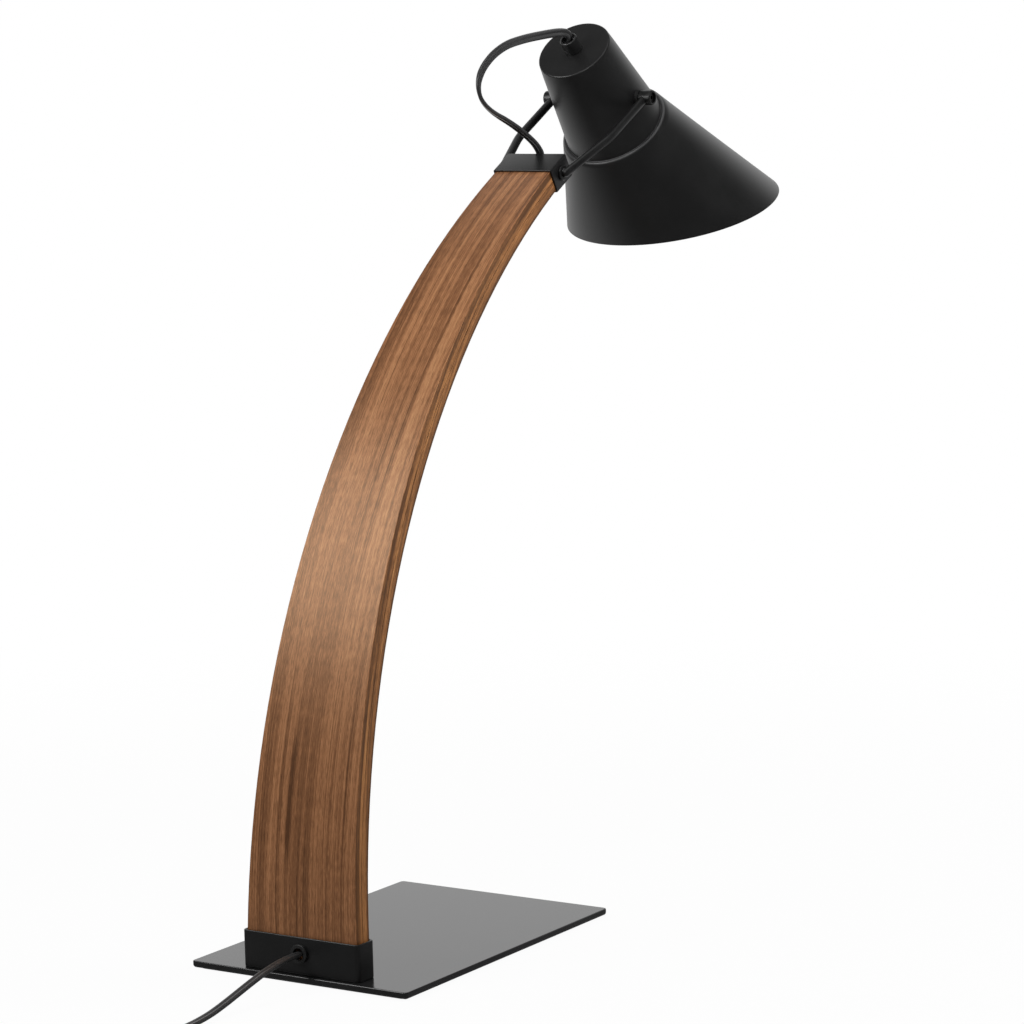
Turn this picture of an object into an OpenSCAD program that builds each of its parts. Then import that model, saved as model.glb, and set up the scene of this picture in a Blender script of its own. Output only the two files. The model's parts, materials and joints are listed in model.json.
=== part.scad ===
// Table lamp: steel base plate, arched two-layer wooden arm, rod yoke and a tilting two-part shade.
// Millimetres and degrees. X is forward, the way the arm leans, Y is left and Z is up.
// The origin is the centre of the underside of the base pad.

/* [Base] */
// Base plate, front to back
plate_length = 254; // [220:1:300]
// Base plate, side to side
plate_width = 178; // [150:1:220]
// Base plate thickness
plate_thick = 4.8; // [4:0.1:8]
// Base plate corner radius
plate_corner = 4; // [2:0.5:10]
// Pad thickness under the plate
pad_thick = 1; // [0.6:0.1:2]
// Margin from the plate's edge to the pad's edge
pad_margin = 4; // [2:0.5:10]

/* [Arm socket] */
// Distance from the plate's rear edge to the socket's rear face
socket_setback = 4.5; // [3:0.5:20]
// Socket height above the plate
socket_height = 25.8; // [23:0.2:34]
// Socket sheet thickness
socket_wall = 1.5; // [1:0.1:2.5]
// Socket's outer corner radius
socket_corner = 2; // [1:0.1:3]
// Gap between the arm and the socket, all round
socket_gap = 0.4; // [0.3:0.05:0.8]
// Bolt shank diameter under the arm
bolt_size = 6; // [5:0.5:7]
// Distance between the two bolts
bolt_spacing = 52; // [40:1:64]
// Length of a threaded insert in the arm's foot
insert_length = 13; // [10:0.5:18]

/* [Arm] */
// Radius of the arm's outer face
arm_radius = 593; // [560:1:620]
// Arm thickness, both layers together
arm_thick = 15.5; // [14:0.5:18]
// Arm width at the foot
arm_foot_width = 91.4; // [84:0.2:100]
// Arm width where it enters the head bracket
arm_tip_width = 46.4; // [42:0.2:56]
// Angle swept from the foot to the rear of the head bracket
arm_sweep = 60.1; // [56:0.1:64]
// Gap round the cord in its channel
channel_gap = 0.35; // [0.25:0.05:0.6]

/* [Head bracket] */
// Bracket length along the arm
bracket_length = 23.5; // [22:0.5:30]
// Bracket sheet thickness
bracket_wall = 1.3; // [0.8:0.1:1.6]
// Gap between the arm's tip and the bracket
bracket_gap = 0.2; // [0.1:0.05:0.4]
// Room for the cord between the arm's end and the bracket's front
bracket_room = 9.5; // [9:0.1:11]
// Bracket screw diameter
bracket_screw = 3.5; // [3:0.1:4]

/* [Yoke] */
// Yoke rod diameter
rod_size = 6.2; // [5:0.2:7]
// Distance from the bracket's centre to the tilt pivot
yoke_length = 106.6; // [100:0.2:120]
// Rise of the yoke above level
yoke_rise = 28.1; // [25:0.1:32]
// Distance from the bracket's centre to the rod's bend
yoke_bend = 50; // [42:0.5:62]
// Radius of the rod's bend, on its middle line
bend_radius = 60; // [30:1:80]
// Round foot of the rod, diameter
foot_size = 11; // [9:0.5:14]
// Round foot of the rod, thickness
foot_thick = 2; // [1.5:0.1:3]
// Pivot barrel diameter
barrel_size = 11; // [10:0.5:14]
// Pivot barrel length
barrel_length = 10.1; // [9.5:0.1:14]
// Pivot screw diameter
pivot_size = 4; // [3:0.5:4.5]
// Running gap round the pivot screw, on the radius
pivot_gap = 0.08; // [0.05:0.01:0.1]
// Saddle washer thickness over the middle of the shade's wall
saddle_thick = 1.9; // [1.6:0.1:3]

/* [Shade] */
// Lean of the shade's axis away from vertical
shade_lean = 43.5; // [35:0.5:55]
// Distance from the shade's top to the tilt pivot, along its axis
pivot_along = 50; // [44:0.5:56]
// Radius of the shade's top
shade_top_radius = 28.1; // [26:0.1:34]
// Radius of the upper shell's lower end
shade_neck_radius = 38; // [34:0.1:44]
// Length of the upper shell
shade_neck_length = 81; // [70:0.5:90]
// Shade sheet thickness
shade_wall = 1; // [0.8:0.1:1.4]
// Gap between the upper shell and the raised lip
lip_gap = 2.1; // [1.5:0.1:4]
// Height of the raised lip
lip_height = 2; // [1:0.1:4]
// Radius of the shade's lower rim
rim_radius = 82.5; // [70:0.5:95]
// Distance from the shade's top to the rim's centre, along its axis
rim_along = 185; // [165:1:200]
// Offset of the rim's centre from the shade's axis, forward
rim_offset = 16; // [8:0.5:24]
// Turn of the rim's plane from square to the shade's axis
rim_turn = 26.5; // [15:0.5:30]

/* [Lampholder] */
// Cord grip diameter
grip_size = 13; // [12:0.5:16]
// Cord grip length
grip_length = 11.5; // [10:0.5:16]
// Threaded nipple diameter
nipple_size = 9.5; // [9:0.1:10]
// Lampholder diameter
holder_size = 39; // [36:0.5:42]
// Lampholder length
holder_length = 46; // [42:0.5:52]
// Screw shell inside diameter
shell_bore = 26.6; // [26:0.1:27.4]
// Bulb globe diameter
globe_size = 60; // [45:1:62]
// Bulb length, cap and globe
bulb_length = 108; // [95:1:112]

/* [Cord] */
// Flat twin cord, width
cord_width = 6.4; // [5:0.1:6.8]
// Flat twin cord, thickness
cord_thick = 3; // [2.5:0.1:3.4]
// Height of the cord's outlet above the plate's top
outlet_height = 14.6; // [14:0.1:17]

/* [Switch and plug] */
// Switch length
switch_length = 60; // [54:1:70]
// Switch width
switch_width = 24; // [22:0.5:30]
// Switch height
switch_height = 16; // [15.5:0.5:20]
// Switch casing thickness
switch_wall = 1.6; // [1.2:0.1:2]
// Rocker throw from off to on
rocker_throw = 16; // [10:1:18]
// Plug body width
plug_width = 24; // [22:0.5:28]
// Plug body height
plug_height = 15; // [14:0.5:20]

/* [Hidden] */

$fn = 96;
big = 900;
black = [0.07, 0.07, 0.08];
satin = [0.11, 0.11, 0.12];
walnut = [0.36, 0.22, 0.13];
steel = [0.66, 0.66, 0.68];
brass = [0.78, 0.62, 0.32];
dark = [0.05, 0.05, 0.05];
cream = [0.90, 0.88, 0.82];

// Levels and places of the base
plate_top = pad_thick + plate_thick;
foot_level = plate_top + socket_wall;
socket_top = plate_top + socket_height;
socket_rear = -plate_length / 2 + socket_setback;
arm_rear = socket_rear + socket_wall + socket_gap;
socket_front = arm_rear + arm_thick + socket_gap + socket_wall;
outlet_z = plate_top + outlet_height;
bolt_x = arm_rear + arm_thick / 2;
bolt_r = bolt_size / 2;
bolt_head_r = bolt_size;
insert_r = bolt_r + 1.5;
hole_gap = 0.3;

// The arm's arc lies in the XZ plane round this centre
arc_x = arm_rear + arm_radius;
arc_z = foot_level + 5.2;
layer_r = arm_radius - arm_thick / 2;
inner_r = arm_radius - arm_thick;
per_mm = 180 / (PI * arm_radius);
bracket_end = arm_sweep + bracket_length * per_mm;
arm_end = bracket_end - bracket_room * per_mm;
taper_length = 2 * arm_radius * sin(arm_sweep / 2);
taper = (arm_tip_width - arm_foot_width) / taper_length;
function arm_width(u) = arm_foot_width + taper * u;
socket_half = arm_width(foot_level - arc_z - 2) / 2 + socket_gap + socket_wall;

// Cord channel and outlet bend
channel_half = cord_width / 2 + channel_gap;
channel_deep = cord_thick / 2 + channel_gap;
bend_r = 6;
bend_from = asin((outlet_z - arc_z + bend_r) / (layer_r + bend_r));
bushing_r = cord_width / 2 + 2.3;
bushing_flange_r = bushing_r + 1.1;
bushing_flange = 2.2;
bushing_bore_r = cord_width / 2 + 0.9;
slot_gap = 0.15;

// Head bracket and yoke
bracket_half = arm_tip_width / 2 + bracket_gap + bracket_wall;
bracket_out_r = arm_radius + bracket_gap + bracket_wall;
bracket_in_r = inner_r - bracket_gap - bracket_wall;
bracket_mid = arm_sweep + bracket_length / 2 * per_mm;
yoke_x = arc_x - layer_r * cos(bracket_mid);
yoke_z = arc_z + layer_r * sin(bracket_mid);
screw_angle = arm_sweep + (bracket_length - bracket_room) / 2 * per_mm;
screw_y = arm_tip_width / 4;
bracket_screw_r = bracket_screw / 2;
pivot_x = yoke_x + yoke_length * cos(yoke_rise);
pivot_z = yoke_z + yoke_length * sin(yoke_rise);

// Shade
top_x = pivot_x - pivot_along * sin(shade_lean);
top_z = pivot_z + pivot_along * cos(shade_lean);
shade_slope = (shade_neck_radius - shade_top_radius) / shade_neck_length;
function neck_r(a) = shade_top_radius + shade_slope * a;
pivot_wall_r = neck_r(pivot_along);
saddle_y = pivot_wall_r + saddle_thick;
barrel_end = saddle_y + barrel_length;
joint_proud = 0.06;
rod_y = saddle_y + rod_size / 2 + 0.3;
rod_foot_y = bracket_half + rod_size / 2 + 0.1;
rod_splay = atan2(rod_y - rod_foot_y, yoke_bend);
bend_reach = bend_radius * tan(rod_splay / 2);
pivot_r = pivot_size / 2;
pivot_head_r = pivot_size * 0.9;
pivot_head = pivot_size * 0.8;
head_gap = 0.35;
counterbore = pivot_head + 1.3;
saddle_r = barrel_size / 2 + 0.5;
inner_washer_y = pivot_wall_r - shade_wall - 1.9;
nut_thick = 3.2;
nut_r = pivot_size * 1.01;
flange_r = shade_neck_radius + lip_gap - 0.5;
lip_along = shade_neck_length - shade_wall - lip_height;
lip_r = neck_r(lip_along) + lip_gap + shade_wall;
web_along = shade_neck_length - shade_wall;
web_gap = 0.15;

// Lampholder, all along the shade's axis from the outside of its top
nipple_r = nipple_size / 2;
nipple_bore_r = nipple_r - 1.2;
nipple_up = 6.5;
holder_cord_up = nipple_up + 1;
grip_screw_r = 1.5;
grip_screw_up = 3.4;
grip_screw_turn = 25;
grip_chamfer = 0.7;
nut_along = shade_wall;
nipple_nut_thick = 3;
cap_along = nut_along + nipple_nut_thick;
cap_length = 13;
body_along = cap_along + cap_length;
holder_end = cap_along + holder_length;
holder_r = holder_size / 2;
holder_wall = 3.4;
shell_r = shell_bore / 2;
shell_wall = 0.5;
insulator_thick = 4;
shell_along = body_along + insulator_thick;
contact_thick = 1.4;
cap_tip = shell_along + contact_thick;
bulb_cap_r = shell_r - 0.3;
bulb_cap_length = holder_end - cap_tip + 1.5;
globe_along = cap_tip + bulb_cap_length;
globe_r = globe_size / 2;
bulb_end = cap_tip + bulb_length;
globe_mid = bulb_end - globe_r;
globe_neck_r = bulb_cap_r + 1;
globe_wall = 1;

// Switch, plug and coil, out of the picture behind the lamp
switch_x = -336;
switch_mid = switch_height / 2;
rocker_long = 13;
rocker_wide = 8;
rocker_gap = 0.4;
rocker_r = 9;
rocker_top = 7.2;
rocker_low = 1.9;
pin_r = 1.2;
pin_gap = 0.08;
pin_z = switch_height - switch_wall - 3.2;
case_inset = switch_wall;
screw_boss_r = 2.5;
case_screw_r = 1.2;
case_screw_x = switch_length / 2 - switch_width / 2 - 1;
case_screw_y = switch_width / 2 - switch_wall - screw_boss_r - 0.2;
coil_turns = 6.5;
coil_mid_r = 34;
coil_pitch = cord_thick + 0.7;
coil_out_r = coil_mid_r + coil_pitch * coil_turns / 4;
coil_rise = cord_width + 0.7;
tie_thick = 0.8;
coil_low = tie_thick + 0.15 + cord_width / 2;
coil_x = -455;
coil_y = coil_out_r;
coil_straight = cord_width;
plug_x = -408;
plug_y = coil_y + coil_out_r;
plug_z = plug_height / 2;
relief_length = 24;
plug_long = 26;
blade_long = 16.5;
blade_apart = 12.7;
blade_wide = 6.3;
blade_thick = 1.5;

// Routes of the free cords: x, y and z of the points that each one passes through
loop_route = [[195.6, 0, 528.3], [198.2, 0, 530.5], [200.2, 0, 533.2], [201.2, 0, 536.2],
    [200.8, 0, 539.4], [197.8, 0, 543], [193.5, 0, 546.5], [186, 0, 551], [180, 0, 554.1],
    [172, 0, 558], [162, 0, 562.3], [152, 0, 566.2], [143, 0, 569.7], [135, 0, 573.6],
    [128.6, 0, 577.9], [124.4, 0, 582.5], [122.5, 0, 588], [122.8, 0, 593], [125.2, 0, 597.9],
    [129.2, 0, 602.4], [135, 0, 606.8], [142, 0, 610.9], [151, 0, 614.7], [162, 0, 618],
    [176, 0, 620.4], [192, 0, 622.3], [206, 0, 623.5], [218, 0, 624.4], [228, 0, 624.9],
    [235.4, 0, 624.8], [239.4, -0.6, 624.2]];
near_route = [[-140, 0, 20.2], [-152, 0, 18.9], [-165, 0, 16.7], [-178, 0, 13.8], [-192, 0, 10.4],
    [-207, 0, 6.8], [-222, 0, 3.8], [-238, 0, 2.1], [-254, 0, 1.6], [-268, 0, 1.8], [-281, 0, 3.4],
    [-292, 0, 6]];
mid_route = [[-382, 0, 5.6], [-396, 0, 3.8], [-411, 0, 3.5], [-428, 0, 3.6]];
end_route = [[-436, plug_y, 10.8], [-424, plug_y, 9.6]];

// Vectors and swept tubes
function unit(v) = v / norm(v);
function along(p, i) = unit(p[min(i + 1, len(p) - 1)] - p[max(i - 1, 0)]);
function square_to(w, t) = unit(w - (w * t) * t);
function oval(c, w, t, wide, thick, sides) = [
    for (k = [0 : sides - 1])
    let (a = 360 * (k + 0.5) / sides, g = 0.5 / cos(180 / sides), h = sides % 4 == 0 ? g : 0.5)
    c + w * wide * g * cos(a) + cross(t, w) * thick * h * sin(a)];
function tube_points(p, w, wide, thick, sides) = [
    for (i = [0 : len(p) - 1])
    let (t = along(p, i))
    each oval(p[i], square_to(w[i], t), t, wide, thick, sides)];
function tube_faces(n, sides) = concat(
    [[for (k = [0 : sides - 1]) k]],
    [[for (k = [sides - 1 : -1 : 0]) (n - 1) * sides + k]],
    [for (i = [0 : n - 2], k = [0 : sides - 1])
        [i * sides + k, (i + 1) * sides + k, (i + 1) * sides + (k + 1) % sides]],
    [for (i = [0 : n - 2], k = [0 : sides - 1])
        [i * sides + k, (i + 1) * sides + (k + 1) % sides, i * sides + (k + 1) % sides]]);
function twist(n, from, to) = [
    for (i = [0 : n - 1])
    let (a = from + (to - from) * i / (n - 1))
    [0, cos(a), sin(a)]];

module tube(p, w, wide, thick, sides) {
    polyhedron(tube_points(p, w, wide, thick, sides), tube_faces(len(p), sides), convexity = 6);
}

// Coil: steadily in on the lower layer, up in a half-turn at its middle, then out on the upper layer
// with a pitch's step in every second half-turn, so that no turn lies in the way of the rise
coil_half = coil_turns / 2;
rise_from = coil_half - 0.25;
rise_to = coil_half + 0.25;
function steps_in(left) =
    floor(left) + max(0, 2 * (left - floor(left)) - 1) * (left > rise_from - 0.5 ? 1.5 : 1);
function coil_radius(t) = coil_out_r - coil_pitch * (t > rise_to ? steps_in(coil_turns - t) : t);
function coil_level(t) = coil_low + coil_rise * max(0, min(1, (t - rise_from) / (rise_to - rise_from)));
function coil_at(t) = [
    coil_x - coil_radius(t) * sin(360 * t),
    coil_y - coil_radius(t) * cos(360 * t),
    coil_level(t)];
coil_steps = 24 * coil_turns;
coil_line = [for (i = [0 : coil_steps]) coil_at(i / 24)];
coil_first = coil_line[0] + [coil_straight, 0, 0];
coil_last = coil_line[coil_steps] + [coil_straight, 0, 0];
coil_points = concat([coil_first], coil_line, [coil_last]);
coil_gaps = [
    for (i = [0 : coil_steps - 13], j = [i + 13 : coil_steps])
    let (d = coil_line[j] - coil_line[i], h = norm([d.x, d.y]), v = abs(d.z))
    if (h < 12) max(h - cord_thick, v - cord_width)];
echo(coil_least_gap = min(coil_gaps));

// Frames
module arc_frame() {
    translate([arc_x, 0, arc_z])
        rotate([90, 0, 180])
            children();
}

module arc_slab(r0, r1, half, from, to) {
    arc_frame()
        rotate([0, 0, from])
            rotate_extrude(angle = to - from)
                translate([r0, -half])
                    square([r1 - r0, 2 * half]);
}

module at_arc(r, angle) {
    arc_frame()
        rotate([0, 0, angle])
            translate([r, 0, 0])
                children();
}

module yoke_frame() {
    translate([yoke_x, 0, yoke_z])
        rotate([0, -yoke_rise, 0])
            children();
}

module shade_frame() {
    translate([top_x, 0, top_z])
        rotate([0, -shade_lean, 0])
            children();
}

module turned(points) {
    rotate_extrude()
        polygon(points);
}

module both_sides() {
    children();
    mirror([0, 1, 0])
        children();
}

module slab(long, wide, high, corner) {
    linear_extrude(high)
        union() {
            square([long - 2 * corner, wide], center = true);
            square([long, wide - 2 * corner], center = true);
            for (x = [-1, 1], y = [-1, 1])
                translate([x * (long / 2 - corner), y * (wide / 2 - corner)])
                    circle(corner);
        }
}

module twin(thick, wide, turn = 0) {
    rotate([0, 0, turn]) {
        square([thick, wide - thick], center = true);
        for (s = [-1, 1])
            translate([0, s * (wide - thick) / 2])
                circle(thick / 2, $fn = 32);
    }
}

// Base
module base_plate() {
    color(black)
        difference() {
            translate([0, 0, pad_thick])
                slab(plate_length, plate_width, plate_thick, plate_corner);
            for (y = [-1, 1])
                translate([bolt_x, y * bolt_spacing / 2, 0])
                    bolt_hole();
        }
}

module bolt_hole() {
    translate([0, 0, pad_thick])
        cylinder(h = bolt_r + hole_gap, r1 = bolt_head_r + hole_gap, r2 = bolt_r);
    cylinder(h = socket_top, r = bolt_r + hole_gap);
}

module base_pad() {
    color(dark)
        slab(plate_length - 2 * pad_margin, plate_width - 2 * pad_margin, pad_thick, plate_corner);
}

module base_bolts() {
    color(steel)
        for (y = [-1, 1])
            translate([bolt_x, y * bolt_spacing / 2, pad_thick]) {
                cylinder(h = bolt_r, r1 = bolt_head_r, r2 = bolt_r);
                cylinder(h = foot_level - pad_thick + insert_length - 1, r = bolt_r);
            }
}

module arm_inserts() {
    color(brass)
        for (y = [-1, 1])
            translate([bolt_x, y * bolt_spacing / 2, foot_level])
                difference() {
                    cylinder(h = insert_length, r = insert_r);
                    translate([0, 0, -1])
                        cylinder(h = insert_length + 2, r = bolt_r);
                }
}

module arm_socket() {
    color(satin)
        difference() {
            translate([(socket_rear + socket_front) / 2, 0, plate_top])
                slab(socket_front - socket_rear, 2 * socket_half, socket_height, socket_corner);
            translate([socket_rear + socket_wall, -socket_half + socket_wall, foot_level])
                cube([socket_front - socket_rear - 2 * socket_wall, 2 * (socket_half - socket_wall), big]);
            translate([socket_rear - 1, 0, outlet_z])
                rotate([0, 90, 0])
                    cylinder(h = socket_wall + 2, r = bushing_r);
            for (y = [-1, 1])
                translate([bolt_x, y * bolt_spacing / 2, plate_top - 1])
                    cylinder(h = socket_wall + 2, r = bolt_r + hole_gap);
        }
}

module cord_bushing() {
    color(dark)
        difference() {
            translate([socket_rear - bushing_flange, 0, outlet_z])
                rotate([0, 90, 0])
                    union() {
                        cylinder(h = bushing_flange + socket_wall, r = bushing_r);
                        cylinder(h = bushing_flange, r = bushing_flange_r);
                    }
            translate([socket_rear, 0, outlet_z])
                rotate([0, 90, 0])
                    cylinder(h = 20, r = bushing_bore_r, center = true);
        }
}

// Arm
module arm_blank(r0, r1) {
    intersection() {
        arc_slab(r0, r1, arm_foot_width, -2, arm_end);
        translate([arm_rear, 0, arc_z])
            rotate([0, arm_sweep / 2, 0])
                rotate([90, 0, 90])
                    linear_extrude(height = big, center = true)
                        polygon([
                            [-arm_width(-40) / 2, -40], [arm_width(-40) / 2, -40],
                            [arm_width(taper_length + 40) / 2, taper_length + 40],
                            [-arm_width(taper_length + 40) / 2, taper_length + 40]]);
        translate([-big, -big, foot_level])
            cube(2 * big);
    }
}

module arm_cuts() {
    arc_slab(layer_r - channel_deep, layer_r + channel_deep, channel_half, -3, arm_end + 1);
    for (y = [-1, 1]) {
        translate([bolt_x, y * bolt_spacing / 2, foot_level - 1])
            cylinder(h = insert_length + 1, r = insert_r);
        at_arc(0, screw_angle)
            translate([bracket_in_r, 0, y * screw_y])
                rotate([0, 90, 0])
                    cylinder(h = bracket_wall + bracket_gap + 10, r = bracket_screw_r);
    }
}

module arm_rear_layer() {
    color(walnut)
        difference() {
            arm_blank(layer_r, arm_radius);
            arm_cuts();
            translate([arm_rear - 2, -channel_half, outlet_z - cord_thick / 2 - 1])
                cube([arm_thick / 2 + 3, 2 * channel_half, bend_r + cord_thick + 2]);
        }
}

module arm_front_layer() {
    color(walnut)
        difference() {
            arm_blank(inner_r, layer_r);
            arm_cuts();
        }
}

module arm_cord() {
    color(dark)
        union() {
            arc_frame()
                rotate([0, 0, bend_from])
                    rotate_extrude(angle = arm_end - bend_from)
                        translate([layer_r, 0])
                            twin(cord_thick, cord_width);
            at_arc(layer_r + bend_r, bend_from)
                rotate([0, 0, 177])
                    rotate_extrude(angle = 96 - bend_from)
                        translate([bend_r, 0])
                            twin(cord_thick + 0.12, cord_width + 0.12);
            translate([outlet_end, 0, outlet_z])
                rotate([0, 90, 0])
                    linear_extrude(bend_x - outlet_end)
                        twin(cord_thick, cord_width);
        }
}
bend_x = arc_x - (layer_r + bend_r) * cos(bend_from);
outlet_end = socket_rear - bushing_flange;

// Head bracket and yoke
module head_bracket() {
    color(satin)
        difference() {
            arc_slab(bracket_in_r, bracket_out_r, bracket_half, arm_sweep, bracket_end);
            arc_slab(inner_r - bracket_gap, arm_radius + bracket_gap, bracket_half - bracket_wall,
                arm_sweep - 1, bracket_end - bracket_wall * per_mm);
            at_arc(layer_r - cord_thick / 2 - 1, bracket_end)
                translate([0, -bracket_wall - 0.6, -channel_half - 0.3])
                    cube([arm_thick, 10, 2 * channel_half + 0.6]);
            for (y = [-1, 1])
                at_arc(bracket_in_r - 1, screw_angle)
                    translate([0, 0, y * screw_y])
                        rotate([0, 90, 0]) {
                            cylinder(h = bracket_wall + 2, r = bracket_screw_r + 0.1);
                            translate([0, 0, 1])
                                cylinder(h = bracket_wall, r1 = bracket_screw_r + bracket_wall + 0.1,
                                    r2 = bracket_screw_r + 0.1);
                        }
        }
}

module bracket_screws() {
    color(satin)
        for (y = [-1, 1])
            at_arc(bracket_in_r, screw_angle)
                translate([0, 0, y * screw_y])
                    rotate([0, 90, 0]) {
                        cylinder(h = bracket_wall, r1 = bracket_screw_r + bracket_wall, r2 = bracket_screw_r);
                        cylinder(h = bracket_wall + bracket_gap + 9, r = bracket_screw_r);
                    }
}

module rod(from, to) {
    turn = atan2(to.y - from.y, to.x - from.x);
    translate([from.x, from.y, 0])
        rotate([0, 0, turn])
            rotate([0, 90, 0])
                cylinder(h = norm(to - from), r = rod_size / 2);
}

module yoke_side() {
    yoke_frame()
        difference() {
            union() {
                translate([0, bracket_half, 0])
                    rotate([-90, 0, 0])
                        cylinder(h = foot_thick, r = foot_size / 2);
                translate([0, rod_foot_y, 0])
                    sphere(rod_size / 2 + joint_proud);
                rod([0, rod_foot_y], [yoke_bend, rod_y] - bend_reach * [cos(rod_splay), sin(rod_splay)]);
                translate([yoke_bend + bend_reach, rod_y - bend_radius, 0])
                    rotate([0, 0, 89])
                        rotate_extrude(angle = rod_splay + 2)
                            translate([bend_radius, 0])
                                circle(rod_size / 2 + joint_proud);
                rod([yoke_bend + bend_reach, rod_y], [yoke_length, rod_y]);
                translate([yoke_length, saddle_y, 0])
                    rotate([-90, 0, 0])
                        cylinder(h = barrel_length, r = barrel_size / 2);
            }
            translate([yoke_length, 0, 0])
                rotate([-90, 0, 0])
                    cylinder(h = barrel_end + 1, r = pivot_r + pivot_gap);
            translate([yoke_length, barrel_end - counterbore, 0])
                rotate([-90, 0, 0])
                    cylinder(h = counterbore + 1, r = pivot_head_r + head_gap);
        }
}

module yoke_left() {
    color(satin)
        yoke_side();
}

module yoke_right() {
    color(satin)
        mirror([0, 1, 0])
            yoke_side();
}

// Tilt pivots, in the shade's frame
module at_pivot() {
    shade_frame()
        translate([0, 0, -pivot_along])
            children();
}

module pivot_screws() {
    color(steel)
        at_pivot()
            both_sides()
                difference() {
                    union() {
                        translate([0, inner_washer_y - nut_thick - 0.8, 0])
                            rotate([-90, 0, 0])
                                cylinder(h = barrel_end - counterbore - inner_washer_y + nut_thick + 0.8, r = pivot_r);
                        translate([0, barrel_end - counterbore, 0])
                            rotate([-90, 0, 0])
                                cylinder(h = pivot_head, r = pivot_head_r);
                    }
                    translate([0, barrel_end - counterbore + pivot_head - 1.6, 0])
                        rotate([-90, 0, 0])
                            cylinder(h = 3, r = pivot_size * 0.36, $fn = 6);
                }
}

module saddle_washers() {
    color(dark)
        difference() {
            at_pivot()
                both_sides()
                    difference() {
                        translate([0, pivot_wall_r - 4, 0])
                            rotate([-90, 0, 0])
                                cylinder(h = saddle_y - pivot_wall_r + 4, r = saddle_r);
                        rotate([-90, 0, 0])
                            cylinder(h = big, r = pivot_r);
                    }
            shade_frame()
                neck_solid(0);
        }
}

module neck_solid(inset) {
    translate([0, 0, -shade_neck_length])
        cylinder(h = shade_neck_length, r1 = shade_neck_radius - inset, r2 = shade_top_radius - inset);
}

module inner_washers() {
    color(dark)
        intersection() {
            at_pivot()
                both_sides()
                    difference() {
                        translate([0, inner_washer_y, 0])
                            rotate([-90, 0, 0])
                                cylinder(h = 8, r = saddle_r);
                        rotate([-90, 0, 0])
                            cylinder(h = big, r = pivot_r);
                    }
            shade_frame()
                neck_solid(shade_wall);
        }
}

module pivot_nuts() {
    color(steel)
        at_pivot()
            both_sides()
                translate([0, inner_washer_y - nut_thick, 0])
                    rotate([-90, 0, 0])
                        difference() {
                            cylinder(h = nut_thick, r = nut_r, $fn = 6);
                            translate([0, 0, -1])
                                cylinder(h = nut_thick + 2, r = pivot_r);
                        }
}

// Shade
module shade_upper() {
    color(satin)
        difference() {
            shade_frame()
                turned([
                    [nipple_r + hole_gap, 0], [shade_top_radius - 0.8, 0], [neck_r(0.8), -0.8],
                    [neck_r(web_along), -web_along], [flange_r, -web_along],
                    [flange_r, -shade_neck_length], [shade_neck_radius - shade_wall, -shade_neck_length],
                    [neck_r(shade_wall) - shade_wall, -shade_wall], [nipple_r + hole_gap, -shade_wall]]);
            at_pivot()
                rotate([90, 0, 0])
                    cylinder(h = big, r = pivot_r, center = true);
        }
}

// Lower shell: straight walls from the round lip to the turned rim, made ring by ring
sides_low = 72;
function rim_point(r, a) = [
    rim_offset + r * cos(rim_turn) * cos(a), r * sin(a), -rim_along - r * sin(rim_turn) * cos(a)];
function lip_point(r, a) = [r * cos(a), r * sin(a), -lip_along];
function wall_point(inset, down, a) =
    let (p = lip_point(lip_r - inset, a), q = rim_point(rim_radius - inset, a))
    p + (q - p) * (down - lip_along) / (-q.z - lip_along);
function flat_point(r, down, a) = [r * cos(a), r * sin(a), -down];
function low_ring(k, a) =
    k == 0 ? rim_point(rim_radius, a) :
    k == 1 ? lip_point(lip_r, a) :
    k == 2 ? lip_point(lip_r - shade_wall, a) :
    k == 3 ? flat_point(lip_r - shade_wall, lip_along + lip_height - shade_wall, a) :
    k == 4 ? flat_point(neck_r(web_along) + web_gap, lip_along + lip_height - shade_wall, a) :
    k == 5 ? flat_point(neck_r(web_along) + web_gap, web_along, a) :
    k == 6 ? wall_point(shade_wall, web_along, a) :
    rim_point(rim_radius - shade_wall, a);
low_points = [
    for (k = [0 : 7], i = [0 : sides_low - 1])
    low_ring(k, 360 * i / sides_low)];
// Both faces of the wall split the same way, and the far half mirrors the near half
low_faces = [
    for (k = [0 : 7], i = [0 : sides_low - 1])
    let (n = (k + 1) % 8, j = (i + 1) % sides_low, near = i < sides_low / 2)
    each ((k == 6) != near ? [
        [k * sides_low + i, n * sides_low + i, n * sides_low + j],
        [k * sides_low + i, n * sides_low + j, k * sides_low + j]] : [
        [k * sides_low + i, n * sides_low + i, k * sides_low + j],
        [n * sides_low + i, n * sides_low + j, k * sides_low + j]])];

module shade_lower() {
    color(satin)
        shade_frame()
            polyhedron(low_points, low_faces, convexity = 8);
}

// Cord grip and lampholder
module cord_grip() {
    color(dark)
        shade_frame()
            difference() {
                turned([
                    [nipple_r, 0], [grip_size / 2, 0], [grip_size / 2, grip_length - grip_chamfer],
                    [grip_size / 2 - grip_chamfer, grip_length], [nipple_r, grip_length]]);
                translate([0, 0, grip_screw_up])
                    rotate([0, -90, -grip_screw_turn])
                        cylinder(h = grip_size, r = grip_screw_r);
            }
}

module grip_screw() {
    color(steel)
        shade_frame()
            translate([0, 0, grip_screw_up])
                rotate([0, -90, -grip_screw_turn])
                    difference() {
                        translate([0, 0, nipple_r])
                            cylinder(h = grip_size / 2 - nipple_r - 0.1, r = grip_screw_r);
                        translate([0, 0, grip_size / 2])
                            cube([4, 0.5, 1.4], center = true);
                    }
}

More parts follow.
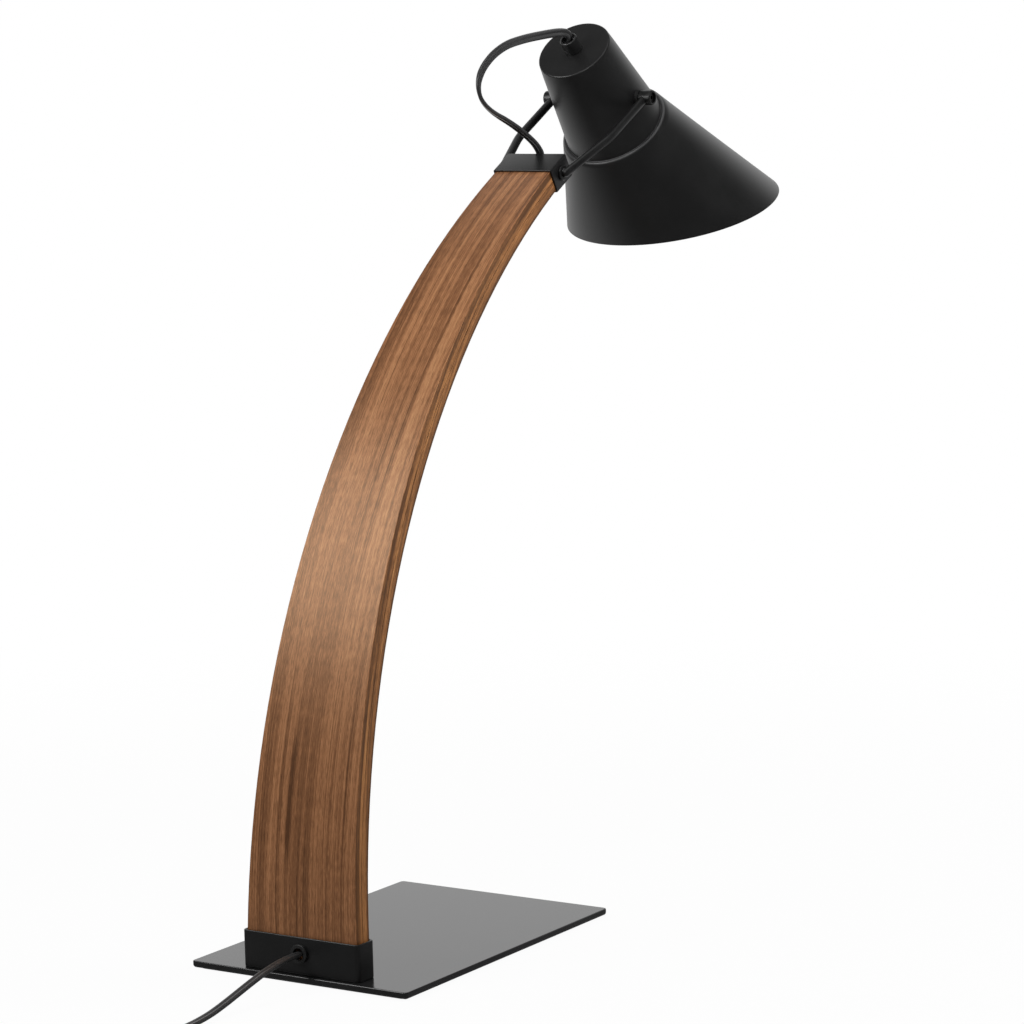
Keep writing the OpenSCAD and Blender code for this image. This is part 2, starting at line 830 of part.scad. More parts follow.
module nipple() {
    color(steel)
        shade_frame()
            difference() {
                translate([0, 0, -cap_along - 6])
                    cylinder(h = cap_along + 6 + nipple_up, r = nipple_r);
                translate([0, 0, -big / 2])
                    cylinder(h = big, r = nipple_bore_r);
            }
}

module nipple_nut() {
    color(steel)
        shade_frame()
            translate([0, 0, -cap_along])
                difference() {
                    cylinder(h = nipple_nut_thick, r = nipple_size * 0.85, $fn = 6);
                    translate([0, 0, -1])
                        cylinder(h = nipple_nut_thick + 2, r = nipple_r);
                }
}

module holder_cap() {
    color(dark)
        shade_frame()
            turned([
                [nipple_r, -cap_along], [holder_r - 5, -cap_along], [holder_r, -cap_along - 5],
                [holder_r, -body_along], [holder_r - holder_wall, -body_along],
                [holder_r - holder_wall, -cap_along - 6], [nipple_r, -cap_along - 6]]);
}

module holder_body() {
    color(dark)
        shade_frame()
            turned([
                [holder_r, -body_along], [holder_r, -holder_end], [shell_r + shell_wall, -holder_end],
                [shell_r + shell_wall, -shell_along], [holder_r - holder_wall, -shell_along],
                [holder_r - holder_wall, -body_along]]);
}

module holder_insulator() {
    color(cream)
        shade_frame()
            translate([0, 0, -shell_along])
                cylinder(h = insulator_thick, r = holder_r - holder_wall);
}

module screw_shell() {
    color(brass)
        shade_frame()
            turned([
                [shell_r + shell_wall, -shell_along], [shell_r + shell_wall, -holder_end + 1],
                [shell_r, -holder_end + 1], [shell_r, -shell_along - shell_wall],
                [shell_r - 4, -shell_along - shell_wall], [shell_r - 4, -shell_along]]);
}

module centre_contact() {
    color(brass)
        shade_frame()
            translate([0, 0, -cap_tip])
                cylinder(h = contact_thick, r = 3.2);
}

module holder_cord() {
    color(dark)
        shade_frame()
            translate([0, 0, -cap_along - 9])
                linear_extrude(cap_along + 9 + holder_cord_up)
                    twin(cord_thick, cord_width, 90);
}

// Bulb
module bulb_cap() {
    color(steel)
        shade_frame()
            turned([
                [0, -cap_tip], [4.5, -cap_tip], [6, -cap_tip - 2], [bulb_cap_r, -cap_tip - 5],
                [bulb_cap_r, -globe_along], [0, -globe_along]]);
}

module bulb_globe() {
    color(cream)
        shade_frame()
            difference() {
                union() {
                    translate([0, 0, -globe_mid])
                        sphere(globe_r);
                    translate([0, 0, -globe_mid])
                        cylinder(h = globe_mid - globe_along, r1 = globe_r * 0.985, r2 = globe_neck_r);
                }
                translate([0, 0, -globe_mid])
                    sphere(globe_r - globe_wall);
                translate([0, 0, -globe_mid])
                    cylinder(h = globe_mid - globe_along + 0.01, r1 = globe_r * 0.985 - globe_wall,
                        r2 = globe_neck_r - globe_wall);
            }
}

// Free cords
loop_start = [
    arc_x - layer_r * cos(arm_end), 0,
    arc_z + layer_r * sin(arm_end)];
function above_top(up, over, side) = [
    top_x - up * sin(shade_lean) + over * cos(shade_lean), side,
    top_z + up * cos(shade_lean) + over * sin(shade_lean)];
loop_points = concat([loop_start], loop_route, [
    above_top(grip_length + 2.1, 1.2, -1.1), above_top(grip_length, 1.1, -1.1),
    above_top(grip_length - 1.9, 0.5, -0.5), above_top(holder_cord_up + hole_gap, 0.5, -0.5)]);

// The loop leaves the arm flat and turns a quarter round between two of its points
function loop_turn(i) = -90 * max(0, min(1, (i - 12) / 7));
loop_flat = [
    for (i = [0 : len(loop_points) - 1])
    let (t = along(loop_points, i), a = loop_turn(i))
    cos(a) * [0, 1, 0] + sin(a) * cross(t, [0, 1, 0])];

module loop_cord() {
    color(dark)
        tube(loop_points, loop_flat, cord_width, cord_thick, 8);
}

outlet_point = [outlet_end, 0, outlet_z];
switch_front = switch_x + switch_length / 2;
switch_back = switch_x - switch_length / 2;
near_points = concat([outlet_point, outlet_point - [6, 0, 0]], near_route,
    [[switch_front + 1, 0, switch_mid], [switch_front - switch_wall - 4, 0, switch_mid]]);

module lead_near() {
    color(dark)
        tube(near_points, [for (p = near_points) [0, 1, 0]], cord_width, cord_thick, 8);
}

mid_points = concat([[switch_back + switch_wall + 4, 0, switch_mid], [switch_back - 1, 0, switch_mid]],
    mid_route, [coil_first + [5, 0, 0], coil_first]);
mid_twist = concat([[0, 1, 0], [0, 1, 0]], twist(len(mid_points) - 3, 0, 90), [[0, 0, 1]]);

module lead_mid() {
    color(dark)
        tube(mid_points, mid_twist, cord_width, cord_thick, 8);
}

module cord_coil() {
    color(dark)
        tube(coil_points, [for (p = coil_points) [0, 0, 1]], cord_width, cord_thick, 6);
}

end_points = concat([coil_last, coil_last + [5, 0, 0]], end_route,
    [[plug_x - 3, plug_y, plug_z], [plug_x + 4, plug_y, plug_z]]);
end_twist = concat([[0, 0, 1]], twist(len(end_points) - 2, 90, 0), [[0, 1, 0]]);

module lead_end() {
    color(dark)
        tube(end_points, end_twist, cord_width, cord_thick, 8);
}

tie_across = 2.4 * coil_pitch + cord_thick + 0.8;
tie_r = coil_out_r - 1.7 * coil_pitch;
tie_tall = coil_rise + cord_width + 0.3;
tie_width = 8;

module cord_tie() {
    color([0.15, 0.15, 0.16])
        translate([coil_x + tie_r, coil_y, coil_low - cord_width / 2 - 0.15 + tie_tall / 2])
            rotate([90, 0, 0])
                linear_extrude(tie_width, center = true)
                    difference() {
                        square([tie_across + 2 * tie_thick, tie_tall + 2 * tie_thick], center = true);
                        square([tie_across, tie_tall], center = true);
                    }
}

// In-line switch
module case_outline(inset) {
    union() {
        square([switch_length - switch_width, switch_width - 2 * inset], center = true);
        for (s = [-1, 1])
            translate([s * (switch_length - switch_width) / 2, 0])
                circle(switch_width / 2 - inset);
    }
}

module case_screw_places() {
    for (s = [-1, 1])
        translate([s * case_screw_x, s * case_screw_y, 0])
            children();
}

module cord_ports() {
    translate([0, 0, switch_mid])
        cube([switch_length + 10, cord_width + 2 * slot_gap, cord_thick + 2 * slot_gap], center = true);
}

module switch_base() {
    color(dark)
        translate([switch_x, 0, 0])
            difference() {
                union() {
                    difference() {
                        linear_extrude(switch_mid)
                            case_outline(0);
                        translate([0, 0, switch_wall])
                            linear_extrude(switch_height)
                                case_outline(case_inset);
                    }
                    case_screw_places()
                        cylinder(h = switch_mid, r = screw_boss_r);
                }
                case_screw_places() {
                    translate([0, 0, -1])
                        cylinder(h = switch_height, r = case_screw_r + 0.1);
                    translate([0, 0, -0.01])
                        cylinder(h = 1.3, r = case_screw_r * 1.9);
                }
                cord_ports();
            }
}

module switch_cover() {
    color(dark)
        translate([switch_x, 0, 0])
            difference() {
                union() {
                    difference() {
                        translate([0, 0, switch_mid])
                            linear_extrude(switch_height - switch_mid)
                                case_outline(0);
                        linear_extrude(switch_height - switch_wall)
                            case_outline(case_inset);
                    }
                    translate([0, 0, switch_mid])
                        case_screw_places()
                            cylinder(h = switch_height - switch_mid - switch_wall, r = screw_boss_r);
                    for (s = [-1, 1])
                        translate([0, s * (rocker_wide / 2 + rocker_gap + 1), pin_z + 0.5])
                            cube([5, 2, 2 * (switch_height - pin_z - 0.6)], center = true);
                }
                case_screw_places()
                    cylinder(h = switch_mid + 5, r = case_screw_r);
                translate([0, 0, switch_height])
                    cube([rocker_long + 2.4, rocker_wide + 2 * rocker_gap, 4 * switch_wall], center = true);
                translate([0, 0, pin_z])
                    rotate([90, 0, 0])
                        cylinder(h = rocker_wide + 2 * rocker_gap + 3.2, r = pin_r, center = true);
                cord_ports();
            }
}

module switch_rocker() {
    color([0.10, 0.10, 0.11])
        translate([switch_x, 0, pin_z])
            rotate([0, rocker_throw / 2, 0])
                difference() {
                    intersection() {
                        translate([0, 0, (rocker_top - rocker_low) / 2])
                            cube([rocker_long, rocker_wide, rocker_top + rocker_low], center = true);
                        translate([0, 0, rocker_top + 0.4 - rocker_r])
                            rotate([90, 0, 0])
                                cylinder(h = rocker_wide, r = rocker_r, center = true);
                    }
                    rotate([90, 0, 0])
                        cylinder(h = big, r = pin_r + pin_gap, center = true);
                }
}

module switch_pin() {
    color(steel)
        translate([switch_x, 0, pin_z])
            rotate([90, 0, 0])
                cylinder(h = rocker_wide + 2 * rocker_gap + 3, r = pin_r, center = true);
}

module switch_screws() {
    color(steel)
        translate([switch_x, 0, 0])
            case_screw_places() {
                cylinder(h = switch_mid + 4.6, r = case_screw_r);
                cylinder(h = 1.29, r = case_screw_r * 1.8);
            }
}

module switch_contacts() {
    color(brass)
        translate([switch_x, 0, switch_wall])
            for (s = [-1, 1])
                translate([s * 9, 0, 0])
                    union() {
                        translate([-4, -2.5, 0])
                            cube([8, 5, 0.8]);
                        translate([-s * 3.6 - 0.4, -2.5, 0])
                            cube([0.8, 5, 3.2]);
                    }
}

// Plug
module plug_body() {
    color(dark)
        difference() {
            union() {
                intersection() {
                    translate([plug_x + relief_length, plug_y, 0])
                        linear_extrude(plug_height)
                            polygon([
                                [0, -plug_width * 0.27], [plug_long * 0.45, -plug_width / 2],
                                [plug_long, -plug_width / 2], [plug_long, plug_width / 2],
                                [plug_long * 0.45, plug_width / 2], [0, plug_width * 0.27]]);
                    translate([plug_x + relief_length, plug_y + big / 2, 0])
                        rotate([90, 0, 0])
                            linear_extrude(big)
                                polygon([
                                    [0, plug_height * 0.14], [plug_long * 0.4, 0], [plug_long, 0],
                                    [plug_long, plug_height], [plug_long * 0.4, plug_height],
                                    [0, plug_height * 0.86]]);
                }
                translate([plug_x, plug_y, plug_z])
                    rotate([0, 90, 0])
                        cylinder(h = relief_length, r1 = cord_width / 2 + 0.9, r2 = plug_height * 0.33);
                for (i = [1 : 4])
                    translate([plug_x + i * relief_length / 5, plug_y, plug_z])
                        rotate([0, 90, 0])
                            cylinder(h = 2, r = cord_width / 2 + 1.7 + i * 0.35);
            }
            translate([plug_x - 1, plug_y - cord_width / 2 - slot_gap, plug_z - cord_thick / 2 - slot_gap])
                cube([5.2, cord_width + 2 * slot_gap, cord_thick + 2 * slot_gap]);
            blade_pair(0.02);
        }
}

module blade_pair(gap) {
    for (s = [-1, 1])
        translate([plug_x + relief_length + plug_long - 10, plug_y + s * blade_apart / 2, plug_z])
            translate([0, -blade_thick / 2 - gap, -blade_wide / 2 - gap])
                cube([10 + blade_long, blade_thick + 2 * gap, blade_wide + 2 * gap]);
}

module plug_blades() {
    color(brass)
        blade_pair(0);
}

base_plate();
base_pad();
arm_socket();
base_bolts();
arm_inserts();
cord_bushing();
arm_rear_layer();
arm_front_layer();
arm_cord();
head_bracket();
bracket_screws();
yoke_left();
yoke_right();
pivot_screws();
saddle_washers();
inner_washers();
pivot_nuts();
shade_upper();
shade_lower();
cord_grip();
grip_screw();
nipple();
nipple_nut();
holder_cap();
holder_body();
holder_insulator();
screw_shell();
centre_contact();
holder_cord();
bulb_cap();
bulb_globe();
loop_cord();
lead_near();
switch_base();
switch_cover();
switch_rocker();
switch_pin();
switch_screws();
switch_contacts();
lead_mid();
cord_coil();
lead_end();
cord_tie();
plug_body();
plug_blades();
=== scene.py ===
"""The table lamp's looks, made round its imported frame. Metres; X is forward, Y left and Z up."""
import json
import math

import bmesh
import bpy
from mathutils import Matrix, Vector
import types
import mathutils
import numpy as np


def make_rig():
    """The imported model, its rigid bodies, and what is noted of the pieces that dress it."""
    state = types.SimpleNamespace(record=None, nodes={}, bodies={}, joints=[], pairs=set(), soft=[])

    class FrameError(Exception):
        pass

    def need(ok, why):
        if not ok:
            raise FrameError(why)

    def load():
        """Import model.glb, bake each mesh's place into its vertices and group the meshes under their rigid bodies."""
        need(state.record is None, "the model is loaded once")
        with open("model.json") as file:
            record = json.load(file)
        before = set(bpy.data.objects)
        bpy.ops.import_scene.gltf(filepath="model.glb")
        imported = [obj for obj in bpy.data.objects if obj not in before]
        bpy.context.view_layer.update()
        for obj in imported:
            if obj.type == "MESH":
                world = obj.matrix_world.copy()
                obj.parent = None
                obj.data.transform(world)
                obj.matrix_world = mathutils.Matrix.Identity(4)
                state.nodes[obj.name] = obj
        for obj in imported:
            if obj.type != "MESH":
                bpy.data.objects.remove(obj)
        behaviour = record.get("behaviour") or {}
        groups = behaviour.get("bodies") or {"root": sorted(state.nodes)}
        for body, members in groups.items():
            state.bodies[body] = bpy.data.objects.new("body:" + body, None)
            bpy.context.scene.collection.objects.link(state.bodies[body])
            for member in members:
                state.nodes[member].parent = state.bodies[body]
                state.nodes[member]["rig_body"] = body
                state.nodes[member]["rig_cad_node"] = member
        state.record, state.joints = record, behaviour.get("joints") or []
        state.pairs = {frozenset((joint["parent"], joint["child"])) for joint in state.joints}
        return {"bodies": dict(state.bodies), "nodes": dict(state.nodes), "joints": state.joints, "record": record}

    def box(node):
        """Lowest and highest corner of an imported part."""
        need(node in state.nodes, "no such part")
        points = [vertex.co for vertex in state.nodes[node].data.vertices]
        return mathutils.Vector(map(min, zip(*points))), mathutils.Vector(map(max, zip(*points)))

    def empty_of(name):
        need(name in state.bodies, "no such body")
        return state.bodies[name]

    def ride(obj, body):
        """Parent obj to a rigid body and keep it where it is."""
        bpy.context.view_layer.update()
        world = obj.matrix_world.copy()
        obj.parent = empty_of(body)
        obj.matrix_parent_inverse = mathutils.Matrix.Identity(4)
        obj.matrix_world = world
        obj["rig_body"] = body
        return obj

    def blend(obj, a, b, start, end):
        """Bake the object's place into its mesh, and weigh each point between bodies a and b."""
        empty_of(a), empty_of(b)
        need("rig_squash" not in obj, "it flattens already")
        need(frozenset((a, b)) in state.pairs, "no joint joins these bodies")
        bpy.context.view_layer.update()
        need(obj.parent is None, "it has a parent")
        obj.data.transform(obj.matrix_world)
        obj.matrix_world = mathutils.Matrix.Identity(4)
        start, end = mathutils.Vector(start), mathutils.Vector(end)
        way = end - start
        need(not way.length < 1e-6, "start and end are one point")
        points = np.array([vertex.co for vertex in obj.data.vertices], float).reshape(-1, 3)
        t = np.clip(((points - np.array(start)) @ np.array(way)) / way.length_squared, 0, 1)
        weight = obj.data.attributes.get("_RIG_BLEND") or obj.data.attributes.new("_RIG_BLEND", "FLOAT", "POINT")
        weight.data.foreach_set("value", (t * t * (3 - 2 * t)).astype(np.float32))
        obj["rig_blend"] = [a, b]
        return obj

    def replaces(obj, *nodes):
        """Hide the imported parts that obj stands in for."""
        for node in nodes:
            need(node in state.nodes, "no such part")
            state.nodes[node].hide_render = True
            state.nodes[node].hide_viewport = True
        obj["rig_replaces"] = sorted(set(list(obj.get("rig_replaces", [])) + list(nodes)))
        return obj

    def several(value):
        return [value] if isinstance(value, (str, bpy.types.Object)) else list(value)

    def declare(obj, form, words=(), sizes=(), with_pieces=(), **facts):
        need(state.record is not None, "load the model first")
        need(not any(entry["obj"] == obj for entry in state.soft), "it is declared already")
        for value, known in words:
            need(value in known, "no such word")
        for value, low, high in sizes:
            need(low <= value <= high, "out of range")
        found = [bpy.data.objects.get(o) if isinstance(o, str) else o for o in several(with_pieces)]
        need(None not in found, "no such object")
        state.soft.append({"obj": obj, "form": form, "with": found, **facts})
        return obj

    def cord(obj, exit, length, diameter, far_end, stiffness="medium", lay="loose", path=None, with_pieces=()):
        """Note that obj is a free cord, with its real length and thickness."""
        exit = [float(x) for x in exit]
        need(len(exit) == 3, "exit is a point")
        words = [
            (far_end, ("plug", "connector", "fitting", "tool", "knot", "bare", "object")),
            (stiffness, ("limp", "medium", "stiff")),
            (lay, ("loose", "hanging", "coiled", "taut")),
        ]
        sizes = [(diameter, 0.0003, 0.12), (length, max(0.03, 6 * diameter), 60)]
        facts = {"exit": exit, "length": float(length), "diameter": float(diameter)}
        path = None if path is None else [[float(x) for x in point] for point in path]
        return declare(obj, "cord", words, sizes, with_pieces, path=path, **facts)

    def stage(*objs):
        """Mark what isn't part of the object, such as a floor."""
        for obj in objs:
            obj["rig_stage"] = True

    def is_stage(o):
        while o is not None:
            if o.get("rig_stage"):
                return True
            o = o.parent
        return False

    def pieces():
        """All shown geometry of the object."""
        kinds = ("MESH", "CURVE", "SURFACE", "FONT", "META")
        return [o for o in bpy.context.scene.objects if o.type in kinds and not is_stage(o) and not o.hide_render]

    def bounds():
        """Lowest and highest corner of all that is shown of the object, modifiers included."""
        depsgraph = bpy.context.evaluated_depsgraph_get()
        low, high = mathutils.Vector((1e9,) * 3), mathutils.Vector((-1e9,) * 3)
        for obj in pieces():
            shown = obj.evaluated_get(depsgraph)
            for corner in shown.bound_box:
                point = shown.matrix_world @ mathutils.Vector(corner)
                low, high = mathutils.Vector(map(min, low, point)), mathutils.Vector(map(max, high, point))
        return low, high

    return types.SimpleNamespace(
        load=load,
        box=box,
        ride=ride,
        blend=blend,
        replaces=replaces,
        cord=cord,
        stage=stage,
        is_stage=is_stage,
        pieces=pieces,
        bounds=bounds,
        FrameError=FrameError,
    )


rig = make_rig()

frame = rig.load()
cad_low, cad_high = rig.bounds()
parts = frame["nodes"]

MM = 0.001
SAME_SPOT = 0.000002
SHARP_ANGLE = math.radians(38)
UP = Vector((0, 0, 1))
LEFT = Vector((0, 1, 0))


def held(share):
    return max(0, min(1, share))


def full_turn(count):
    return [2 * math.pi * k / count for k in range(count)]


# Camera, at the height and angle from which the lamp was seen
CAMERA_SPOT = (-2.03973, -1.42439, 0.65236)
CAMERA_YAW, CAMERA_PITCH, CAMERA_ROLL = 0.576342684, 0.140317120, -0.0250857809
SENSOR_WIDE, FOCUS_PIXELS, PICTURE_PIXELS, SEEN_TO = 36, 3654.388, 1024, 50


def place_camera():
    ahead = math.cos(CAMERA_PITCH)
    look = Vector((math.cos(CAMERA_YAW) * ahead, math.sin(CAMERA_YAW) * ahead, -math.sin(CAMERA_PITCH)))
    level = look.cross(UP).normalized()
    rise = level.cross(look)
    right = math.cos(CAMERA_ROLL) * level + math.sin(CAMERA_ROLL) * rise
    top = math.cos(CAMERA_ROLL) * rise - math.sin(CAMERA_ROLL) * level
    lens = bpy.data.cameras.new("lamp_camera")
    lens.sensor_width = SENSOR_WIDE
    lens.lens = SENSOR_WIDE * FOCUS_PIXELS / PICTURE_PIXELS
    lens.clip_end = SEEN_TO
    camera = bpy.data.objects.new("lamp_camera", lens)
    turn = Matrix((right, top, -look)).transposed().to_4x4()
    camera.matrix_world = Matrix.Translation(CAMERA_SPOT) @ turn
    bpy.context.scene.collection.objects.link(camera)
    bpy.context.scene.camera = camera


place_camera()


# Mesh pieces
def mesh_piece(name, points, faces, smooth=True):
    mesh = bpy.data.meshes.new(name)
    mesh.from_pydata(points, [], faces)
    mesh.validate()
    for face in mesh.polygons:
        face.use_smooth = smooth
    mesh.set_sharp_from_angle(angle=SHARP_ANGLE)
    piece = bpy.data.objects.new(name, mesh)
    bpy.context.scene.collection.objects.link(piece)
    return piece


# Flat twin cord: two round lobes side by side, with a groove between them
CORD_WIDE, CORD_THICK, GROOVE_SHARE = 6.4, 3.0, 0.6


def twin_outline():
    lobe = CORD_THICK / 2
    middle = CORD_WIDE / 2 - lobe
    groove = lobe * GROOVE_SHARE
    turns = [math.radians(a) for a in range(-120, 121, 20)]
    half = [(middle + lobe * math.cos(t), lobe * math.sin(t)) for t in turns]
    return half + [(0, groove)] + [(-x, -y) for x, y in half] + [(0, -groove)]


def smooth_route(points, wides, steps):
    """Points between the given ones on a smooth curve through them, with the cord's wide way at each."""
    p = [Vector(q) for q in points]
    p = [2 * p[0] - p[1]] + p + [2 * p[-1] - p[-2]]
    route, ways = [], []
    for i in range(1, len(p) - 2):
        knots = [0.0]
        for a, b in zip(p[i - 1:i + 2], p[i:i + 3]):
            knots.append(knots[-1] + math.sqrt((b - a).length))
        for k in range(steps):
            t = knots[1] + (knots[2] - knots[1]) * k / steps

            def between(a, b, m, n):
                span = knots[n] - knots[m]
                return a * ((knots[n] - t) / span) + b * ((t - knots[m]) / span)

            one = [between(p[i - 1 + j], p[i + j], j, j + 1) for j in range(3)]
            two = [between(one[j], one[j + 1], j, j + 2) for j in range(2)]
            route.append(between(two[0], two[1], 1, 2))
            ways.append(Vector(wides[i - 1]).lerp(Vector(wides[i]), k / steps))
    return route + [p[-2]], ways + [Vector(wides[-1])]


def heading(route, i):
    return (route[min(i + 1, len(route) - 1)] - route[max(i - 1, 0)]).normalized()


def twin_cord(name, points, wides, steps):
    """A mesh of twin cord along points in millimetres. Returns the piece and its middle line in metres."""
    route, ways = smooth_route(points, wides, steps)
    outline = twin_outline()
    n = len(outline)
    rings = []
    for i, spot in enumerate(route):
        ahead = heading(route, i)
        wide = (ways[i] - ways[i].dot(ahead) * ahead).normalized()
        thick = ahead.cross(wide)
        rings += [(spot + wide * x + thick * y) * MM for x, y in outline]
    faces = [
        (i * n + k, i * n + (k + 1) % n, (i + 1) * n + (k + 1) % n, (i + 1) * n + k)
        for i in range(len(route) - 1)
        for k in range(n)
    ]
    faces += [tuple(reversed(range(n))), tuple((len(route) - 1) * n + k for k in range(n))]
    return mesh_piece(name, rings, faces), [spot * MM for spot in route]


def route_length(route):
    return sum((b - a).length for a, b in zip(route, route[1:]))


# The loop at the head: out of the arm's end, back over the bracket and forward into the grip on the shade
PIVOT = Vector((284.805, 0, 575.742))
LEAN = math.radians(43.5)
PIVOT_DOWN = 50
SHADE_TOP = PIVOT + PIVOT_DOWN * Vector((-math.sin(LEAN), 0, math.cos(LEAN)))
TWIST_FROM, TWIST_OVER = 12, 7


def leaned(x, y, z, lean):
    """A point turned about the sideways axis, so that its forward way rises by lean."""
    return Vector((x * math.cos(lean) - z * math.sin(lean), y, x * math.sin(lean) + z * math.cos(lean)))


LOOP_ROUTE = [Vector(q) for q in (
    (192.7, 0, 526.6), (195.6, 0, 528.3), (198.2, 0, 530.5), (200.2, 0, 533.2), (201.2, 0, 536.2),
    (200.8, 0, 539.4), (197.8, 0, 543), (193.5, 0, 546.5), (186, 0, 551), (180, 0, 554.1),
    (172, 0, 558), (162, 0, 562.3), (152, 0, 566.2), (143, 0, 569.7), (135, 0, 573.6),
    (128.6, 0, 577.9), (124.4, 0, 582.5), (122.5, 0, 588), (122.8, 0, 593), (125.2, 0, 597.9),
    (129.2, 0, 602.4), (135, 0, 606.8), (142, 0, 610.9), (151, 0, 614.7), (162, 0, 618),
    (176, 0, 620.4), (192, 0, 622.3), (206, 0, 623.5), (218, 0, 624.4), (228, 0, 624.9),
    (235.4, 0, 624.8), (239.4, -0.6, 624.2))]
INTO_GRIP = [(1.2, -1.1, 13.6), (1.1, -1.1, 11.5), (0.5, -0.5, 9.6), (0.5, -0.5, 7.8)]
LOOP_ROUTE += [SHADE_TOP + leaned(*spot, LEAN) for spot in INTO_GRIP]


def loop_wide(i):
    """The way the cord is wide at a point of the loop: sideways first, then turned upright."""
    turn = math.radians(-90 * held((i - TWIST_FROM) / TWIST_OVER))
    return math.cos(turn) * LEFT + math.sin(turn) * heading(LOOP_ROUTE, i).cross(LEFT)


def head_loop():
    loop, route = twin_cord("head_loop", LOOP_ROUTE, [loop_wide(i) for i in range(len(LOOP_ROUTE))], 5)
    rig.replaces(loop, "loop_cord")
    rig.blend(loop, "lamp", "shade", start=(0.201, 0, 0.538), end=(0.2208, 0, 0.6219))
    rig.cord(loop, exit=route[0], length=route_length(route), diameter=CORD_WIDE * MM, far_end="object",
            stiffness="medium", lay="loose", path=route)
    return loop


# The lead: down from the bushing to the switch, then to its tied coil and the plug
NEAR_ROUTE = [
    (-124.7, 0, 20.4), (-130.7, 0, 20.4), (-140, 0, 20.2), (-152, 0, 18.9), (-165, 0, 16.7), (-178, 0, 13.8),
    (-192, 0, 10.4), (-207, 0, 6.8), (-222, 0, 3.8), (-238, 0, 2.1), (-254, 0, 1.6), (-268, 0, 1.8),
    (-281, 0, 3.4), (-292, 0, 6), (-305, 0, 8), (-311.6, 0, 8)]
MID_ROUTE = [
    (-360.4, 0, 8), (-367, 0, 8), (-382, 0, 5.6), (-396, 0, 3.8), (-411, 0, 3.5), (-428, 0, 3.6),
    (-443.6, 0, 4.15), (-448.6, 0, 4.15)]
COIL_TURNS, COIL_PITCH, COIL_OUT, COIL_X = 6.5, 3.7, 40.0125, -455
COIL_LOW, COIL_RISE, COIL_CLIMB, CLIMB_STEP, COIL_STEPS = 4.15, 7.1, 0.5, 1.5, 24
TURNS_UP_OVER, TURNS_FLAT_OVER = 5, 4
PLUG_Y = 2 * COIL_OUT
END_ROUTE = [
    (-448.6, PLUG_Y, 11.25), (-443.6, PLUG_Y, 11.25), (-436, PLUG_Y, 10.8), (-424, PLUG_Y, 9.6),
    (-411, PLUG_Y, 7.5), (-404, PLUG_Y, 7.5)]


def coil_spot(turn):
    """A point of the coil: inward in its lower layer, up over half a turn, and outward in the upper one."""
    rise_from = COIL_TURNS / 2 - COIL_CLIMB / 2
    if turn > rise_from + COIL_CLIMB:
        left = COIL_TURNS - turn
        whole = math.floor(left)
        steps = whole + max(0, 2 * (left - whole) - 1) * (CLIMB_STEP if left > rise_from - COIL_CLIMB else 1)
    else:
        steps = turn
    radius = COIL_OUT - COIL_PITCH * steps
    level = COIL_LOW + COIL_RISE * held((turn - rise_from) / COIL_CLIMB)
    angle = 2 * math.pi * turn
    return (COIL_X - radius * math.sin(angle), COIL_OUT - radius * math.cos(angle), level)


def upright(share):
    """The way the lead is wide, from sideways at 0 to upright at 1."""
    return (0, math.cos(math.pi / 2 * share), math.sin(math.pi / 2 * share))


def lead():
    near, near_line = twin_cord("lead_to_switch", NEAR_ROUTE, [LEFT] * len(NEAR_ROUTE), 4)
    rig.ride(near, "lamp")
    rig.replaces(near, "lead_near")
    coil = [coil_spot(i / COIL_STEPS) for i in range(int(COIL_STEPS * COIL_TURNS) + 1)]
    points = MID_ROUTE + coil + END_ROUTE
    wides = [upright(held((i - 1) / TURNS_UP_OVER)) for i in range(len(MID_ROUTE))]
    wides += [upright(1)] * len(coil)
    wides += [upright(1 - held((i - 1) / TURNS_FLAT_OVER)) for i in range(len(END_ROUTE))]
    rest, rest_line = twin_cord("lead_to_plug", points, wides, 2)
    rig.ride(rest, "lamp")
    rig.replaces(rest, "lead_mid", "cord_coil", "lead_end")
    return near, near_line, rest, rest_line


loop = head_loop()
lead_near, near_line, lead_rest, rest_line = lead()


# Shells of the shade, in its own frame: the axis runs up through the middle of the top
def shade_spot(x, y, z):
    return (SHADE_TOP + leaned(x, y, z, LEAN)) * MM


def stitched(name, rings, capped=False):
    """A closed skin over rings of equally many points, the last joined to the first or both ends capped."""
    n = len(rings[0])
    points = [spot for ring in rings for spot in ring]
    faces = [
        (i * n + k, i * n + (k + 1) % n, j * n + (k + 1) % n, j * n + k)
        for i in range(len(rings) - capped)
        for j in [(i + 1) % len(rings)]
        for k in range(n)
    ]
    if capped:
        faces += [tuple(reversed(range(n))), tuple((len(rings) - 1) * n + k for k in range(n))]
    return mesh_piece(name, points, faces)


def outward(piece):
    shape = bmesh.new()
    shape.from_mesh(piece.data)
    bmesh.ops.recalc_face_normals(shape, faces=shape.faces)
    shape.to_mesh(piece.data)
    shape.free()
    return piece


def arc(middle, radius, start, stop, steps):
    """Points of a rounded edge in a profile, from one angle to another in degrees."""
    return [
        (middle[0] + radius * math.cos(math.radians(a)), middle[1] + radius * math.sin(math.radians(a)))
        for a in (start + (stop - start) * k / steps for k in range(steps + 1))
    ]


